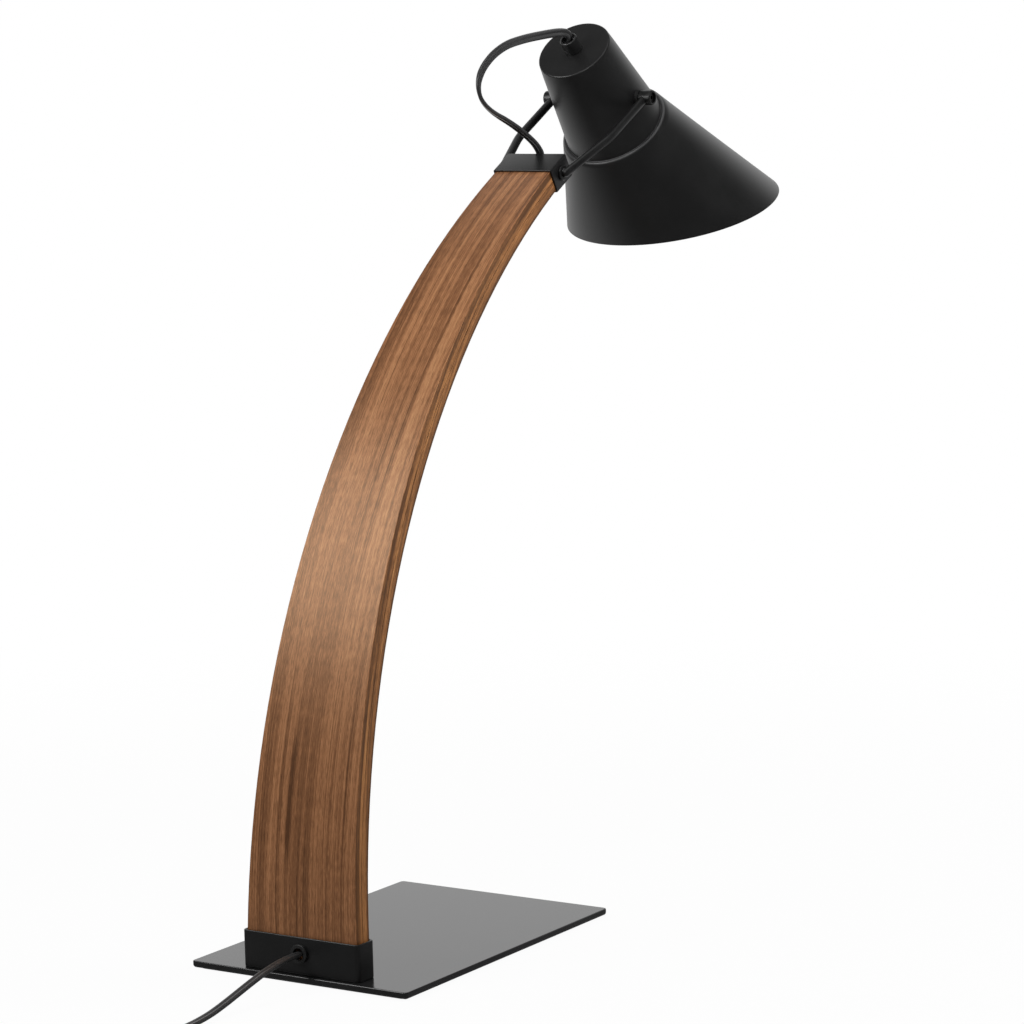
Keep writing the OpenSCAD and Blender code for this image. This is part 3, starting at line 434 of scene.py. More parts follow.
ROUND = full_turn(240)
TOP_R, TOP_EDGE, NIPPLE_HOLE, NECK_R, NECK_LONG, WALL = 28.1, 1.4, 5.05, 38.0, 81.0, 1.0
LIP_ALONG, LIP_R, LIP_ROLL = 78.0, 40.733, 1.75
WEB_ALONG, WEB_TOP, WEB_IN, WEB_OUT, SEAT_R = 80.0, 79.5, 38.1, 39.6, 38.2
BEAD_ALONG, BEAD_R = 78.6, 0.35
RIM_R, RIM_ALONG, RIM_OFFSET, RIM_TURN = 82.5, 185.0, 16.0, math.radians(26.5)
RIM_ROLL = [(-0.46, 0.12), (-0.3, 0.34), (0, 0.45), (0.3, 0.34), (0.46, 0.12)]


def neck_radius(along):
    return TOP_R + (NECK_R - TOP_R) / NECK_LONG * along


def upper_shell():
    profile = [(NIPPLE_HOLE, 0), (12, 0), (20, 0)] + arc((TOP_R - TOP_EDGE, -TOP_EDGE), TOP_EDGE, 90, 7, 8)
    profile += [(neck_radius(a), -a) for a in (10, 25, 40, 55, 70, BEAD_ALONG - 1)]
    profile += arc((neck_radius(BEAD_ALONG), -BEAD_ALONG), BEAD_R, 75, -90, 7)
    profile += [(WEB_IN, -WEB_ALONG), (WEB_OUT, -WEB_ALONG), (WEB_OUT, -NECK_LONG)]
    profile += [(NECK_R - WALL, -NECK_LONG)]
    profile += [(neck_radius(a) - WALL, -a) for a in (60, 30, WALL)] + [(NIPPLE_HOLE, -WALL)]
    shell = outward(stitched("upper_shell", [
        [shade_spot(r * math.cos(a), r * math.sin(a), z) for a in ROUND] for r, z in profile]))
    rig.ride(shell, "shade")
    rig.replaces(shell, "shade_upper")
    return shell


def rim_spot(radius, drop, a):
    x = RIM_OFFSET + radius * math.cos(RIM_TURN) * math.cos(a)
    z = -RIM_ALONG - radius * math.sin(RIM_TURN) * math.cos(a)
    return Vector((x - drop * math.sin(RIM_TURN), radius * math.sin(a), z - drop * math.cos(RIM_TURN)))


def skirt_spot(inset, down, share, a):
    """A point of the lower shell's wall, from its ring at down to the turned rim."""
    start = Vector(((LIP_R - inset) * math.cos(a), (LIP_R - inset) * math.sin(a), -LIP_ALONG))
    end = rim_spot(RIM_R - inset, 0, a)
    first = (down - LIP_ALONG) / (-end.z - LIP_ALONG)
    return start.lerp(end, first + (1 - first) * share)


def lower_shell():
    up_wall = (0.004, 0.2, 0.4, 0.6, 0.8, 0.97, 1)
    rows = [lambda a, t=t: skirt_spot(0, LIP_ALONG + LIP_ROLL, 1 - t, a) for t in up_wall]
    over_lip = arc((LIP_R - LIP_ROLL, -LIP_ALONG - LIP_ROLL), LIP_ROLL, 20, 180, 12)
    over_lip += [(SEAT_R, -WEB_TOP), (SEAT_R, -WEB_ALONG)]
    rows += [lambda a, r=r, z=z: Vector((r * math.cos(a), r * math.sin(a), z)) for r, z in over_lip]
    rows += [lambda a, t=t: skirt_spot(WALL, WEB_ALONG, t, a) for t in (0, 0.25, 0.5, 0.75, 0.996)]
    rows += [lambda a, r=r, d=d: rim_spot(RIM_R - WALL / 2 + r, d, a) for r, d in RIM_ROLL]
    shell = stitched("lower_shell", [[shade_spot(*row(a)) for a in ROUND] for row in rows])
    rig.ride(shell, "shade")
    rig.replaces(shell, "shade_lower")
    return shell


upper, lower = upper_shell(), lower_shell()


# Welded and folded metal at the head: blocks and turned shapes, joined or cut into one skin
def block(name, low, high, edge, place):
    shape = bmesh.new()
    bmesh.ops.create_cube(shape, size=1)
    for corner in shape.verts:
        corner.co = [a + (c + 0.5) * (b - a) for a, b, c in zip(low, high, corner.co)]
    if edge:
        bmesh.ops.bevel(shape, geom=shape.edges[:], offset=edge, segments=4, profile=0.5, affect="EDGES")
    points = [place(*corner.co) for corner in shape.verts]
    faces = [[corner.index for corner in face.verts] for face in shape.faces]
    shape.free()
    return mesh_piece(name, points, faces)


def worked(piece, others, operation):
    """Joins the others on to the piece, or cuts them out of it, and leaves one mesh."""
    for other in others:
        step = piece.modifiers.new(other.name, "BOOLEAN")
        step.operation = operation
        step.solver = "EXACT"
        step.object = other
    bpy.context.view_layer.update()
    mesh = bpy.data.meshes.new_from_object(piece.evaluated_get(bpy.context.evaluated_depsgraph_get()))
    piece.modifiers.clear()
    piece.data = mesh
    for other in others:
        bpy.data.objects.remove(other, do_unlink=True)
    shape = bmesh.new()
    shape.from_mesh(mesh)
    bmesh.ops.remove_doubles(shape, verts=shape.verts, dist=SAME_SPOT)
    shape.to_mesh(mesh)
    shape.free()
    mesh.set_sharp_from_angle(angle=SHARP_ANGLE)


ARM_X, ARM_Z, ARM_R, ARM_MID_R, ARM_TO = 472.4, 12.5, 593.0, 585.25, math.radians(60.1)
# Half the sleeve's length, width and height, and its sheet's thickness
SLEEVE_LONG, SLEEVE_WIDE, SLEEVE_HIGH, SHEET = 11.75, 24.7, 9.25, 1.3
SLOT_LOW, SLOT_HIGH = (7, -3.85, -2.05), (15, 3.85, 4.95)
SCREW_ALONG, SCREW_SIDE = -4.75, 11.6
BRACKET_AT = ARM_TO + SLEEVE_LONG / ARM_R
BRACKET_WAY = Vector((math.sin(BRACKET_AT), 0, math.cos(BRACKET_AT)))
BRACKET_UP = Vector((-math.cos(BRACKET_AT), 0, math.sin(BRACKET_AT)))
BRACKET_MID = Vector((ARM_X, 0, ARM_Z)) + ARM_MID_R * BRACKET_UP


def bracket_spot(along, side, up):
    return (BRACKET_MID + along * BRACKET_WAY + side * LEFT + up * BRACKET_UP) * MM


def round_ring(radius, count, spot):
    return [spot(radius * math.cos(t), radius * math.sin(t)) for t in full_turn(count)]


def at_screw(name, side, count, rows):
    """A turned shape on the line of one of the sleeve's screws, from rows of radius and height."""
    rings = [round_ring(r, count, lambda a, b: bracket_spot(SCREW_ALONG + a, side + b, up)) for r, up in rows]
    return outward(stitched(name, rings, True))


def sleeve():
    """The folded sheet over the arm's tip, with its cord slot and countersunk holes."""
    low, high = (-16, -SLEEVE_WIDE, -SLEEVE_HIGH), (SLEEVE_LONG, SLEEVE_WIDE, SLEEVE_HIGH)
    skin = outward(block("tip_sleeve", low, high, 1.2, bracket_spot))
    room = SLEEVE_LONG - SHEET, SLEEVE_WIDE - SHEET, SLEEVE_HIGH - SHEET
    cuts = [
        outward(block("open_end", (-30, -40, -20), (-SLEEVE_LONG, 40, 20), 0, bracket_spot)),
        outward(block("hollow", (-29, -room[1], -room[2]), room, 0.4, bracket_spot)),
        outward(block("cord_slot", SLOT_LOW, SLOT_HIGH, 1.6, bracket_spot))]
    seat = [(3.4, -9.5), (1.85, -7.9)]
    cuts += [at_screw("screw_seat", side, 40, seat) for side in (-SCREW_SIDE, SCREW_SIDE)]
    worked(skin, cuts, "DIFFERENCE")
    edge = skin.modifiers.new("broken_edges", "BEVEL")
    edge.width = 0.25 * MM
    edge.segments = 2
    edge.angle_limit = math.radians(50)
    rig.ride(skin, "lamp")
    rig.replaces(skin, "head_bracket")
    return skin


YOKE_RISE = math.radians(28.1)
YOKE_LONG, ROD_R, ROD_IN, ROD_OUT, ROD_BEND, BEND_R = 106.6, 3.1, 27.9, 39.511, 50.0, 60.0
SADDLE_Y, BARREL_Y, BARREL_R, BARREL_EDGE = 36.111, 46.211, 5.5, 0.7
RECESS_R, RECESS_DEEP, PIVOT_HOLE = 3.95, 4.5, 2.08
DISC_R, DISC_TOP, DISC_EDGE, WELD_R, WELD_Y = 5.5, 26.7, 0.9, 3.7, 26.2


def yoke(name, node, side):
    """One rod of the yoke, welded to its round foot on the sleeve and to its pivot barrel."""
    def spot(x, y, z):
        return (BRACKET_MID + leaned(x, side * y, z, YOKE_RISE)) * MM

    splay = math.atan2(ROD_OUT - ROD_IN, ROD_BEND)
    reach = BEND_R * math.tan(splay / 2)
    line = [(0, ROD_IN, splay, ROD_R)]
    line += [(ROD_BEND + reach - BEND_R * math.sin(a), ROD_OUT - BEND_R + BEND_R * math.cos(a), a, ROD_R)
             for a in (splay * (1 - k / 8) for k in range(9))]
    line += [(YOKE_LONG - 4.2, ROD_OUT, 0, ROD_R)]
    ends = [(-back * math.cos(splay), ROD_IN - back * math.sin(splay), splay, r)
            for back, r in arc((0, 0), ROD_R, 90 / 7, 540 / 7, 5)]
    rod = stitched(name, [
        round_ring(r, 32, lambda a, b: spot(x - a * math.sin(turn), y + a * math.cos(turn), b))
        for x, y, turn, r in ends + line], True)
    foot = [(DISC_R, SLEEVE_WIDE), (DISC_R, SLEEVE_WIDE + 1)]
    foot += arc((DISC_R - DISC_EDGE, DISC_TOP - DISC_EDGE), DISC_EDGE, 0, 90, 4) + [(3.9, DISC_TOP)]
    weld = [(WELD_R + 0.3, WELD_Y)] + arc((0, WELD_Y), WELD_R, 0, 60, 3)
    rim, seat = BARREL_Y - BARREL_EDGE, BARREL_Y - RECESS_DEEP
    barrel = [(BARREL_R - 0.6, SADDLE_Y), (BARREL_R, SADDLE_Y + 0.6), (BARREL_R, rim)]
    barrel += arc((BARREL_R - BARREL_EDGE, rim), BARREL_EDGE, 20, 90, 3)
    barrel += [(RECESS_R + 0.3, BARREL_Y), (RECESS_R, BARREL_Y - 0.3)]
    barrel += [(RECESS_R, seat), (PIVOT_HOLE, seat), (PIVOT_HOLE, SADDLE_Y)]
    joined = [
        stitched("foot", [round_ring(r, 64, lambda a, b: spot(a, y, b)) for r, y in foot], True),
        stitched("foot_weld", [round_ring(r, 48, lambda a, b: spot(a + 0.6, y, b)) for r, y in weld], True),
        stitched("barrel", [round_ring(r, 64, lambda a, b: spot(YOKE_LONG + a, y, b)) for r, y in barrel])]
    outward(rod)
    worked(rod, [outward(piece) for piece in joined], "UNION")
    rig.ride(rod, "lamp")
    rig.replaces(rod, node)
    return rod


tip_sleeve = sleeve()
left_rod, right_rod = yoke("left_rod", "yoke_left", 1), yoke("right_rod", "yoke_right", -1)


# The base: a plate with rounded edges and the folded box that holds the arm's foot
def rounded_outline(low, high, inset, corner, z):
    """The outline of a box with round corners, set in from its sides, at one height in metres."""
    turn = max(corner - inset, 0.3) * MM
    spots = []
    for x, y, start in ((high.x, high.y, 0), (low.x, high.y, 90), (low.x, low.y, 180), (high.x, low.y, 270)):
        way = Vector((1 if start in (0, 270) else -1, 1 if start < 180 else -1))
        middle = Vector((x, y)) - (inset * MM + turn) * way
        spots += [Vector((a, b, z)) for a, b in arc(middle, turn, start, start + 90, 8)]
    return spots


def box_skin(name, node, corner, rows):
    """A closed skin in a node's box. A row is an inset, a height, and whether that counts from the top."""
    low, high = (Vector(spot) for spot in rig.box(node))
    rings = [
        rounded_outline(low, high, inset, corner, high.z - rise * MM if from_top else low.z + rise * MM)
        for inset, rise, from_top in rows]
    return outward(stitched(name, rings, True)), low, high


def drilled(name, radius, start, stop):
    """A round cutter between two points in metres."""
    start, stop = Vector(start), Vector(stop)
    turn = (stop - start).to_track_quat("Z", "Y").to_matrix()
    ends = [round_ring(radius * MM, 48, lambda a, b: end + turn @ Vector((a, b, 0))) for end in (start, stop)]
    return outward(stitched(name, ends, True))


def rounded_edge(edge, from_top):
    """Rows up round a box's rounded bottom edge, or over its rounded top edge."""
    steps = [(edge - x, edge - y) for x, y in arc((0, 0), edge, 0, 90, 6)]
    return [(inset, rise, from_top) for inset, rise in (steps if from_top else reversed(steps))]


BOLT_X, BOLT_Y, BOLT_HOLE, OUTLET_HOLE = -112.85, 26.0, 3.2, 5.55
PLATE_CORNER, PLATE_UNDER, PLATE_OVER, PLATE_FLAT = 3.0, 2.1, 0.7, 0.5
BOX_CORNER, BOX_WALL, BOX_UNDER, BOX_OVER, BOX_LIP = 3.2, 1.5, 0.9, 0.55, 0.35


def bolt_holes(low, high):
    x, y = BOLT_X * MM, BOLT_Y * MM
    return [drilled("bolt_hole", BOLT_HOLE, (x, side * y, low), (x, side * y, high)) for side in (-1, 1)]


def base():
    rows = [(PLATE_UNDER + PLATE_FLAT, 0, False)] + rounded_edge(PLATE_UNDER, False)
    rows += rounded_edge(PLATE_OVER, True) + [(PLATE_OVER + PLATE_FLAT, 0, True)]
    plate, low, high = box_skin("rounded_plate", "base_plate", PLATE_CORNER, rows)
    worked(plate, bolt_holes(low.z - MM, high.z + MM), "DIFFERENCE")
    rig.ride(plate, "lamp")
    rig.replaces(plate, "base_plate")
    return plate


def foot_box():
    rows = [(BOX_UNDER + 0.5, 0, False)] + rounded_edge(BOX_UNDER, False) + rounded_edge(BOX_OVER, True)
    rows += [(BOX_WALL - inset, rise, True) for inset, rise, _ in reversed(rounded_edge(BOX_LIP, True))]
    rows += [(BOX_WALL, 6, True), (BOX_WALL, BOX_WALL, False), (BOX_WALL + 0.6, BOX_WALL, False)]
    box, low, high = box_skin("foot_box", "arm_socket", BOX_CORNER, rows)
    outlet = sum(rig.box("cord_bushing"), Vector()) / 2
    cuts = bolt_holes(low.z - MM, low.z + 4 * MM)
    cuts.append(drilled("outlet", OUTLET_HOLE, (low.x - 3 * MM, 0, outlet.z), (low.x + 3 * MM, 0, outlet.z)))
    worked(box, cuts, "DIFFERENCE")
    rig.ride(box, "lamp")
    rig.replaces(box, "arm_socket")
    return box


plate, socket = base(), foot_box()


# The screws that hold the sleeve, from below
def sleeve_screws():
    head, shank, recess, sides = 3.05, 1.75, 1.15, 6
    shape = [(head - 0.15, -SLEEVE_HIGH), (head, -9.12), (shank, -7.95), (shank, 0.9), (shank - 0.5, 1.4)]
    screws = at_screw("sleeve_screws", -SCREW_SIDE, 40, shape)
    worked(screws, [at_screw("sleeve_screws", SCREW_SIDE, 40, shape)], "UNION")
    hollow = [(recess, -10), (recess, -8)]
    sockets = [at_screw("hex_socket", side, sides, hollow) for side in (-SCREW_SIDE, SCREW_SIDE)]
    worked(screws, sockets, "DIFFERENCE")
    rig.ride(screws, "lamp")
    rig.replaces(screws, "bracket_screws")
    return screws


screws = sleeve_screws()


# The switch on the lead: two moulded halves that meet in a fine groove
SWITCH_X, CASE_HALF, CASE_R, CASE_HIGH, CASE_WALL = -336.0, 18.0, 12.0, 16.0, 1.6
CASE_MID = CASE_HIGH / 2
CASE_SCREWS = [(17.0, 7.7), (-17.0, -7.7)]
# Half sizes of the cord's ports, and of the rocker's frame and window
PORT_LONG, PORT_WIDE, PORT_HIGH = 40, 3.35, 1.65
FRAME_LONG, FRAME_WIDE, WINDOW_LONG, WINDOW_WIDE = 9.6, 6.2, 7.7, 4.4


def switch_spot(x, y, z):
    return Vector((SWITCH_X + x, y, z)) * MM


def case_outline(inset, z):
    radius = CASE_R - inset
    spots = arc((CASE_HALF, 0), radius, -90, 90, 24) + arc((-CASE_HALF, 0), radius, 90, 270, 24)
    return [switch_spot(x, y, z) for x, y in spots]


def upright_bar(name, radius, spot, low, high):
    return drilled(name, radius, switch_spot(*spot, low), switch_spot(*spot, high))


def case_half(name, node, rows, bosses, cuts):
    half = outward(stitched(name, [case_outline(inset, z) for inset, z in rows], True))
    worked(half, bosses, "UNION")
    low, high = (-PORT_LONG, -PORT_WIDE, CASE_MID - PORT_HIGH), (PORT_LONG, PORT_WIDE, CASE_MID + PORT_HIGH)
    port = outward(block("cord_port", low, high, 0, switch_spot))
    worked(half, [port] + cuts, "DIFFERENCE")
    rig.ride(half, "lamp")
    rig.replaces(half, node)
    return half


def switch_case():
    edge, groove, boss, step = 2.4, 0.35, 2.5, 0.6
    low_edge = [(edge - r, edge - z) for r, z in reversed(arc((0, 0), edge, 0, 90, 6))]
    rows = [(edge + step, 0)] + low_edge + [(0, CASE_MID - groove), (groove, CASE_MID), (CASE_WALL, CASE_MID)]
    rows += [(CASE_WALL, CASE_WALL), (CASE_WALL + step, CASE_WALL)]
    bosses = [upright_bar("screw_boss", boss, spot, 1, CASE_MID) for spot in CASE_SCREWS]
    cuts = [upright_bar("screw_hole", 1.3, spot, -1, CASE_MID + 1) for spot in CASE_SCREWS]
    cuts += [upright_bar("screw_seat", 2.28, spot, -1, 1.3) for spot in CASE_SCREWS]
    under = case_half("switch_underside", "switch_base", rows, bosses, cuts)
    top_edge = [(inset, CASE_HIGH - z) for inset, z in reversed(low_edge)]
    ceiling = CASE_HIGH - CASE_WALL
    rows = [(CASE_WALL + step, ceiling), (CASE_WALL, ceiling), (CASE_WALL, CASE_MID), (groove, CASE_MID)]
    rows += [(0, CASE_MID + groove)] + top_edge + [(edge + step, CASE_HIGH)]
    bosses = [upright_bar("screw_boss", boss, spot, CASE_MID, ceiling + 0.5) for spot in CASE_SCREWS]
    low, high = (-FRAME_LONG, -FRAME_WIDE, ceiling + 0.5), (FRAME_LONG, FRAME_WIDE, CASE_HIGH + 0.5)
    bosses.append(outward(block("rocker_frame", low, high, 0.4, switch_spot)))
    cuts = [upright_bar("screw_hole", 1.2, spot, CASE_MID - 1, CASE_MID + 5) for spot in CASE_SCREWS]
    low, high = (-WINDOW_LONG, -WINDOW_WIDE, CASE_MID), (WINDOW_LONG, WINDOW_WIDE, CASE_HIGH + 3)
    cuts.append(outward(block("rocker_window", low, high, 0.5, switch_spot)))
    return under, case_half("switch_top", "switch_cover", rows, bosses, cuts)


case_under, case_top = switch_case()


# The plug: a ribbed, tapered end on the cord, a moulded body and two blades
PLUG_X, RELIEF_LONG, PLUG_LONG, PLUG_HALF_W, PLUG_HALF_H = -408.0, 24.0, 26.0, 12.0, 7.5
PLUG_SQUARE, PLUG_TIP_EDGE, PLUG_GROOVES, RIBS = 6.5, 1, (13, 16, 19), 5
BLADE_APART, BLADE_LONG, BLADE_IN, BLADE_HALF_T, BLADE_HALF_W = 12.7, 16.5, 10, 0.75, 3.15
BLADE_HOLE, HOLE_ALONG = 1.6, 12


def plug_ring(x, wide, high, squareness):
    """A ring round the plug, from round at a squareness of 2 to nearly a rectangle."""
    def bent(share):
        return math.copysign(abs(share) ** (2 / squareness), share)

    def spot(t):
        return Vector((PLUG_X + x, PLUG_Y + wide * bent(math.cos(t)), PLUG_HALF_H + high * bent(math.sin(t))))

    return [spot(t) * MM for t in full_turn(48)]


def moulded_plug():
    rings = [(0, 3.5, 3.5, 2), (0.5, 4.1, 4.1, 2)]
    for i in range(1, RIBS):
        start, neck, rib = i * RELIEF_LONG / RIBS, 4.0 + 0.18 * i, 4.7 + 0.35 * i
        rings += [(start + x, r, r, 2) for x, r in (
            (-0.3, neck), (0, rib - 0.35), (0.35, rib), (1.8, rib), (2.15, rib - 0.35), (2.45, neck + 0.1))]
    body = RELIEF_LONG
    rings += [(body - 0.6, 4.9, 4.9, 2), (body, 6.0, 5.2, 2.4), (body + 0.8, 6.9, 5.6, 2.8)]
    rings += [
        (body + 0.8 + 9.2 * t, 6.9 + 5.1 * t ** 1.2, 5.6 + 1.9 * t ** 0.9, 2.8 + 3.7 * t)
        for t in (0.25, 0.5, 0.75, 1)]
    sides = [
        (groove + x, cut)
        for groove in PLUG_GROOVES
        for x, cut in ((0, 0), (0.4, 0.4), (1.1, 0.4), (1.5, 0))]
    sides += [
        (PLUG_LONG - PLUG_TIP_EDGE + math.sin(t), PLUG_TIP_EDGE - math.cos(t))
        for t in (0, 0.4, 0.8, 1.2, math.pi / 2)]
    sides += [(PLUG_LONG, 1.6)]
    rings += [(body + x, PLUG_HALF_W - cut, PLUG_HALF_H - cut, PLUG_SQUARE) for x, cut in sides]
    plug = outward(stitched("moulded_plug", [plug_ring(*ring) for ring in rings], True))
    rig.ride(plug, "lamp")
    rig.replaces(plug, "plug_body")
    return plug


def blades():
    def blade(side):
        middle = PLUG_Y + side * BLADE_APART / 2
        start = PLUG_X + RELIEF_LONG + PLUG_LONG
        low = (start - BLADE_IN, middle - BLADE_HALF_T, PLUG_HALF_H - BLADE_HALF_W)
        high = (start + BLADE_LONG, middle + BLADE_HALF_T, PLUG_HALF_H + BLADE_HALF_W)
        bar = outward(block("drilled_blades", low, high, 0.4, lambda x, y, z: Vector((x, y, z)) * MM))
        hole = Vector((start + HOLE_ALONG, middle, PLUG_HALF_H)) * MM
        through = 2 * MM * LEFT
        worked(bar, [drilled("blade_hole", BLADE_HOLE, hole - through, hole + through)], "DIFFERENCE")
        return bar

    pair = blade(-1)
    worked(pair, [blade(1)], "UNION")
    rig.ride(pair, "lamp")
    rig.replaces(pair, "plug_blades")
    return pair


plug, plug_pins = moulded_plug(), blades()


def declare_lead():
    switch = [case_under, case_top, "switch_rocker", "switch_pin", "switch_screws", "switch_contacts"]
    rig.cord(lead_near, exit=near_line[0], length=route_length(near_line), diameter=CORD_WIDE * MM,
            far_end="fitting", stiffness="medium", lay="loose", path=near_line, with_pieces=switch)
    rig.cord(lead_rest, exit=rest_line[0], length=route_length(rest_line), diameter=CORD_WIDE * MM,
            far_end="plug", stiffness="medium", lay="coiled", path=rest_line,
            with_pieces=["cord_tie", plug, plug_pins])


declare_lead()


# Edges of the nodes that stay, broken as on the real ones
BROKEN_STEPS, BROKEN_FROM, FLAT_WITHIN = 3, math.radians(40), math.radians(0.6)


def join(name):
    """Closes the seams of a node's mesh."""
    weld = parts[name].modifiers.new("join", "WELD")
    weld.merge_threshold = SAME_SPOT


def soften(width, *names):
    for name in names:
        part = parts[name]
        join(name)
        flat = part.modifiers.new("flat_faces", "DECIMATE")
        flat.decimate_type = "DISSOLVE"
        flat.angle_limit = FLAT_WITHIN
        edge = part.modifiers.new("broken_edges", "BEVEL")
        edge.width = width * MM
        edge.segments = BROKEN_STEPS
        edge.limit_method = "ANGLE"
        edge.angle_limit = BROKEN_FROM
        edge.use_clamp_overlap = False
        even = part.modifiers.new("even_shading", "WEIGHTED_NORMAL")
        even.keep_sharp = True


soften(0.3, "arm_rear_layer", "arm_front_layer")
soften(0.35, "cord_bushing", "cord_grip", "switch_rocker")
soften(0.6, "holder_cap", "holder_body")
soften(0.25, "cord_tie", "base_pad")
join("bulb_globe")


# Finishes: a signal is a socket, and sums and products of signals add Math nodes
class Signal:
    def __init__(self, finish, socket):
        self.finish = finish
        self.socket = socket

    def math(self, operation, *others):
        return self.finish.add("ShaderNodeMath", {"operation": operation}, [self, *others])

    def __add__(self, other):
        return self.math("ADD", other)

    def __mul__(self, other):
        return self.math("MULTIPLY", other)

    def __sub__(self, other):
        return self.math("SUBTRACT", other)

    def __rsub__(self, other):
        return self.finish.add("ShaderNodeMath", {"operation": "SUBTRACT"}, [other, self])

    def __pow__(self, other):
        return self.math("POWER", other)

    __radd__ = __add__
    __rmul__ = __mul__

    def between(self, low, high):
        """0 below low, 1 above high, with a soft step in between."""
        return self.finish.add(
            "ShaderNodeMapRange", {"interpolation_type": "SMOOTHSTEP"}, [self, low, high, 0.0, 1.0])

    def within(self, rise, fall):
        """1 from one soft step to the next, each a pair of limits, and 0 outside them."""
        return self.between(*rise) * (1 - self.between(*fall))


class Finish:
    """One material: its Principled shader, and one way to add any other node."""

    def __init__(self, name, **constants):
        self.material = bpy.data.materials.new(name)
        self.material.use_nodes = True
        self.tree = self.material.node_tree
        self.tree.nodes.clear()
        self.shader = self.tree.nodes.new("ShaderNodeBsdfPrincipled")
        output = self.tree.nodes.new("ShaderNodeOutputMaterial")
        self.tree.links.new(self.shader.outputs[0], output.inputs["Surface"])
        for socket, value in constants.items():
            self.feed(self.shader, socket.replace("_", " ").title().replace("Ior", "IOR"), value)

    def feed(self, node, socket, value):
        if isinstance(value, Signal):
            self.tree.links.new(value.socket, node.inputs[socket])
        else:
            node.inputs[socket].default_value = value

    def add(self, kind, settings, inputs, output=0):
        node = self.tree.nodes.new(kind)
        for key, value in settings.items():
            if key == "stops":
                ramp = node.color_ramp
                while len(ramp.elements) < len(value):
                    ramp.elements.new(0.5)
                for element, (place, colour) in zip(ramp.elements, value):
                    element.position = place
                    element.color = (*colour, 1)
            else:
                setattr(node, key, value)
        pairs = inputs.items() if isinstance(inputs, dict) else enumerate(inputs)
        for socket, value in pairs:
            self.feed(node, socket, value)
        return Signal(self, node.outputs[output])

    def spot(self):
        """Where a point lies at rest, in metres."""
        return self.add("ShaderNodeTexCoord", {}, {}, "Object")

    def place(self):
        """The same as three signals."""
        spot = self.spot()
        return [self.add("ShaderNodeSeparateXYZ", {}, [spot], i) for i in range(3)]

    def vector(self, x, y, z):
        return self.add("ShaderNodeCombineXYZ", {}, [x, y, z])

    def noise(self, spot, scale, detail=2.0, rough=0.5):
        inputs = {"Vector": spot, "Scale": scale, "Detail": detail, "Roughness": rough}
        return self.add("ShaderNodeTexNoise", {}, inputs)

    def mix(self, share, a, b, way="MIX"):
        return self.add("ShaderNodeMix", {"data_type": "RGBA", "blend_type": way}, {0: share, 6: a, 7: b}, 2)

    def ramp(self, signal, stops):
        return self.add("ShaderNodeValToRGB", {"stops": stops}, [signal])

    def bump(self, height, strength, distance):
        inputs = {"Strength": strength, "Distance": distance, "Height": height}
        self.feed(self.shader, "Normal", self.add("ShaderNodeBump", {}, inputs))

    def toward(self, way, direction):
        """How much a vector points one way."""
        return self.add("ShaderNodeVectorMath", {"operation": "DOT_PRODUCT"}, [way, direction], "Value")

    def ray(self, kind):
        return self.add("ShaderNodeLightPath", {}, {}, kind)

    def mix_shaders(self, share, one, other):
        return self.add("ShaderNodeMixShader", {}, [share, one, other])

    def colour(self, signal):
        self.feed(self.shader, "Base Color", signal)

    def roughness(self, signal):
        self.feed(self.shader, "Roughness", signal)

    def on(self, *pieces):
        for piece in pieces:
            target = parts[piece] if isinstance(piece, str) else piece
            target.data.materials.clear()
            target.data.materials.append(self.material)


def tone(value):
    """A black or grey with a trace of blue."""
    return (value, value, value * 1.02, 1)


def grey(value):
    return (value, value, value, 1)


# Tone of the painted highlight on the shade's lip
LIP_HIGHLIGHT_TONE = 0.046
WHITE = grey(1)


def lip_painted_highlight(finish):
    """The crest of the shade's raised lip, where a paler tone is a painted highlight."""
    x, _, z = finish.place()
    down = (x - SHADE_TOP.x * MM) * math.sin(LEAN) - (z - SHADE_TOP.z * MM) * math.cos(LEAN)
    lip = LIP_ALONG * MM
    return down.within((lip - 0.0001, lip + 0.0001), (lip + 0.0004, lip + 0.0015))


def painted(name, tones, rough, grain, depth, level=0.5, painted_highlight=None):
    """Paint, moulded plastic or rubber: a faint cloudiness in its tone and gloss, and a fine skin."""
    finish = Finish(name, specular_ior_level=level)
    spot = finish.spot()
    cloud = finish.noise(spot, 26, 3)
    speck = finish.noise(spot, grain, 2)
    dark, light = tones
    low, high = rough
    paint = finish.mix(cloud.between(0.35, 0.7), tone(dark), tone(light))
    # A paler tone where the mask says: a painted highlight
    if painted_highlight:
        paint = finish.mix(painted_highlight(finish), paint, tone(LIP_HIGHLIGHT_TONE))
    finish.colour(paint)
    finish.roughness(low + (high - low) * (0.6 * cloud + 0.4 * speck))
    finish.bump(speck, 0.25, depth)
    return finish


plate_paint = painted("plate_paint", tones=(0.006, 0.009), rough=(0.15, 0.23), grain=900, depth=0.00002)
satin_paint = painted(
    "satin_paint", tones=(0.005, 0.007), rough=(0.32, 0.42), grain=2600, depth=0.00004, level=0.43)
# The shade's paint carries a painted highlight along its lip
shade_paint = painted(
    "shade_paint", tones=(0.005, 0.007), rough=(0.34, 0.44), grain=3000, depth=0.00003, level=0.44,
    painted_highlight=lip_painted_highlight)
plate_paint.on(plate)
satin_paint.on(socket, tip_sleeve, left_rod, right_rod, screws)
shade_paint.on(upper, lower)


GLUE_DEEP = (ARM_R - ARM_MID_R) * MM
WALNUT_TONES = [
    (0.16, (0.070, 0.029, 0.013)), (0.38, (0.175, 0.075, 0.033)), (0.52, (0.275, 0.124, 0.056)),
    (0.74, (0.39, 0.195, 0.09))]
PORE_BROWN, CUT_TINT = (0.06, 0.026, 0.011, 1), (1.04, 1.0, 0.76, 1)


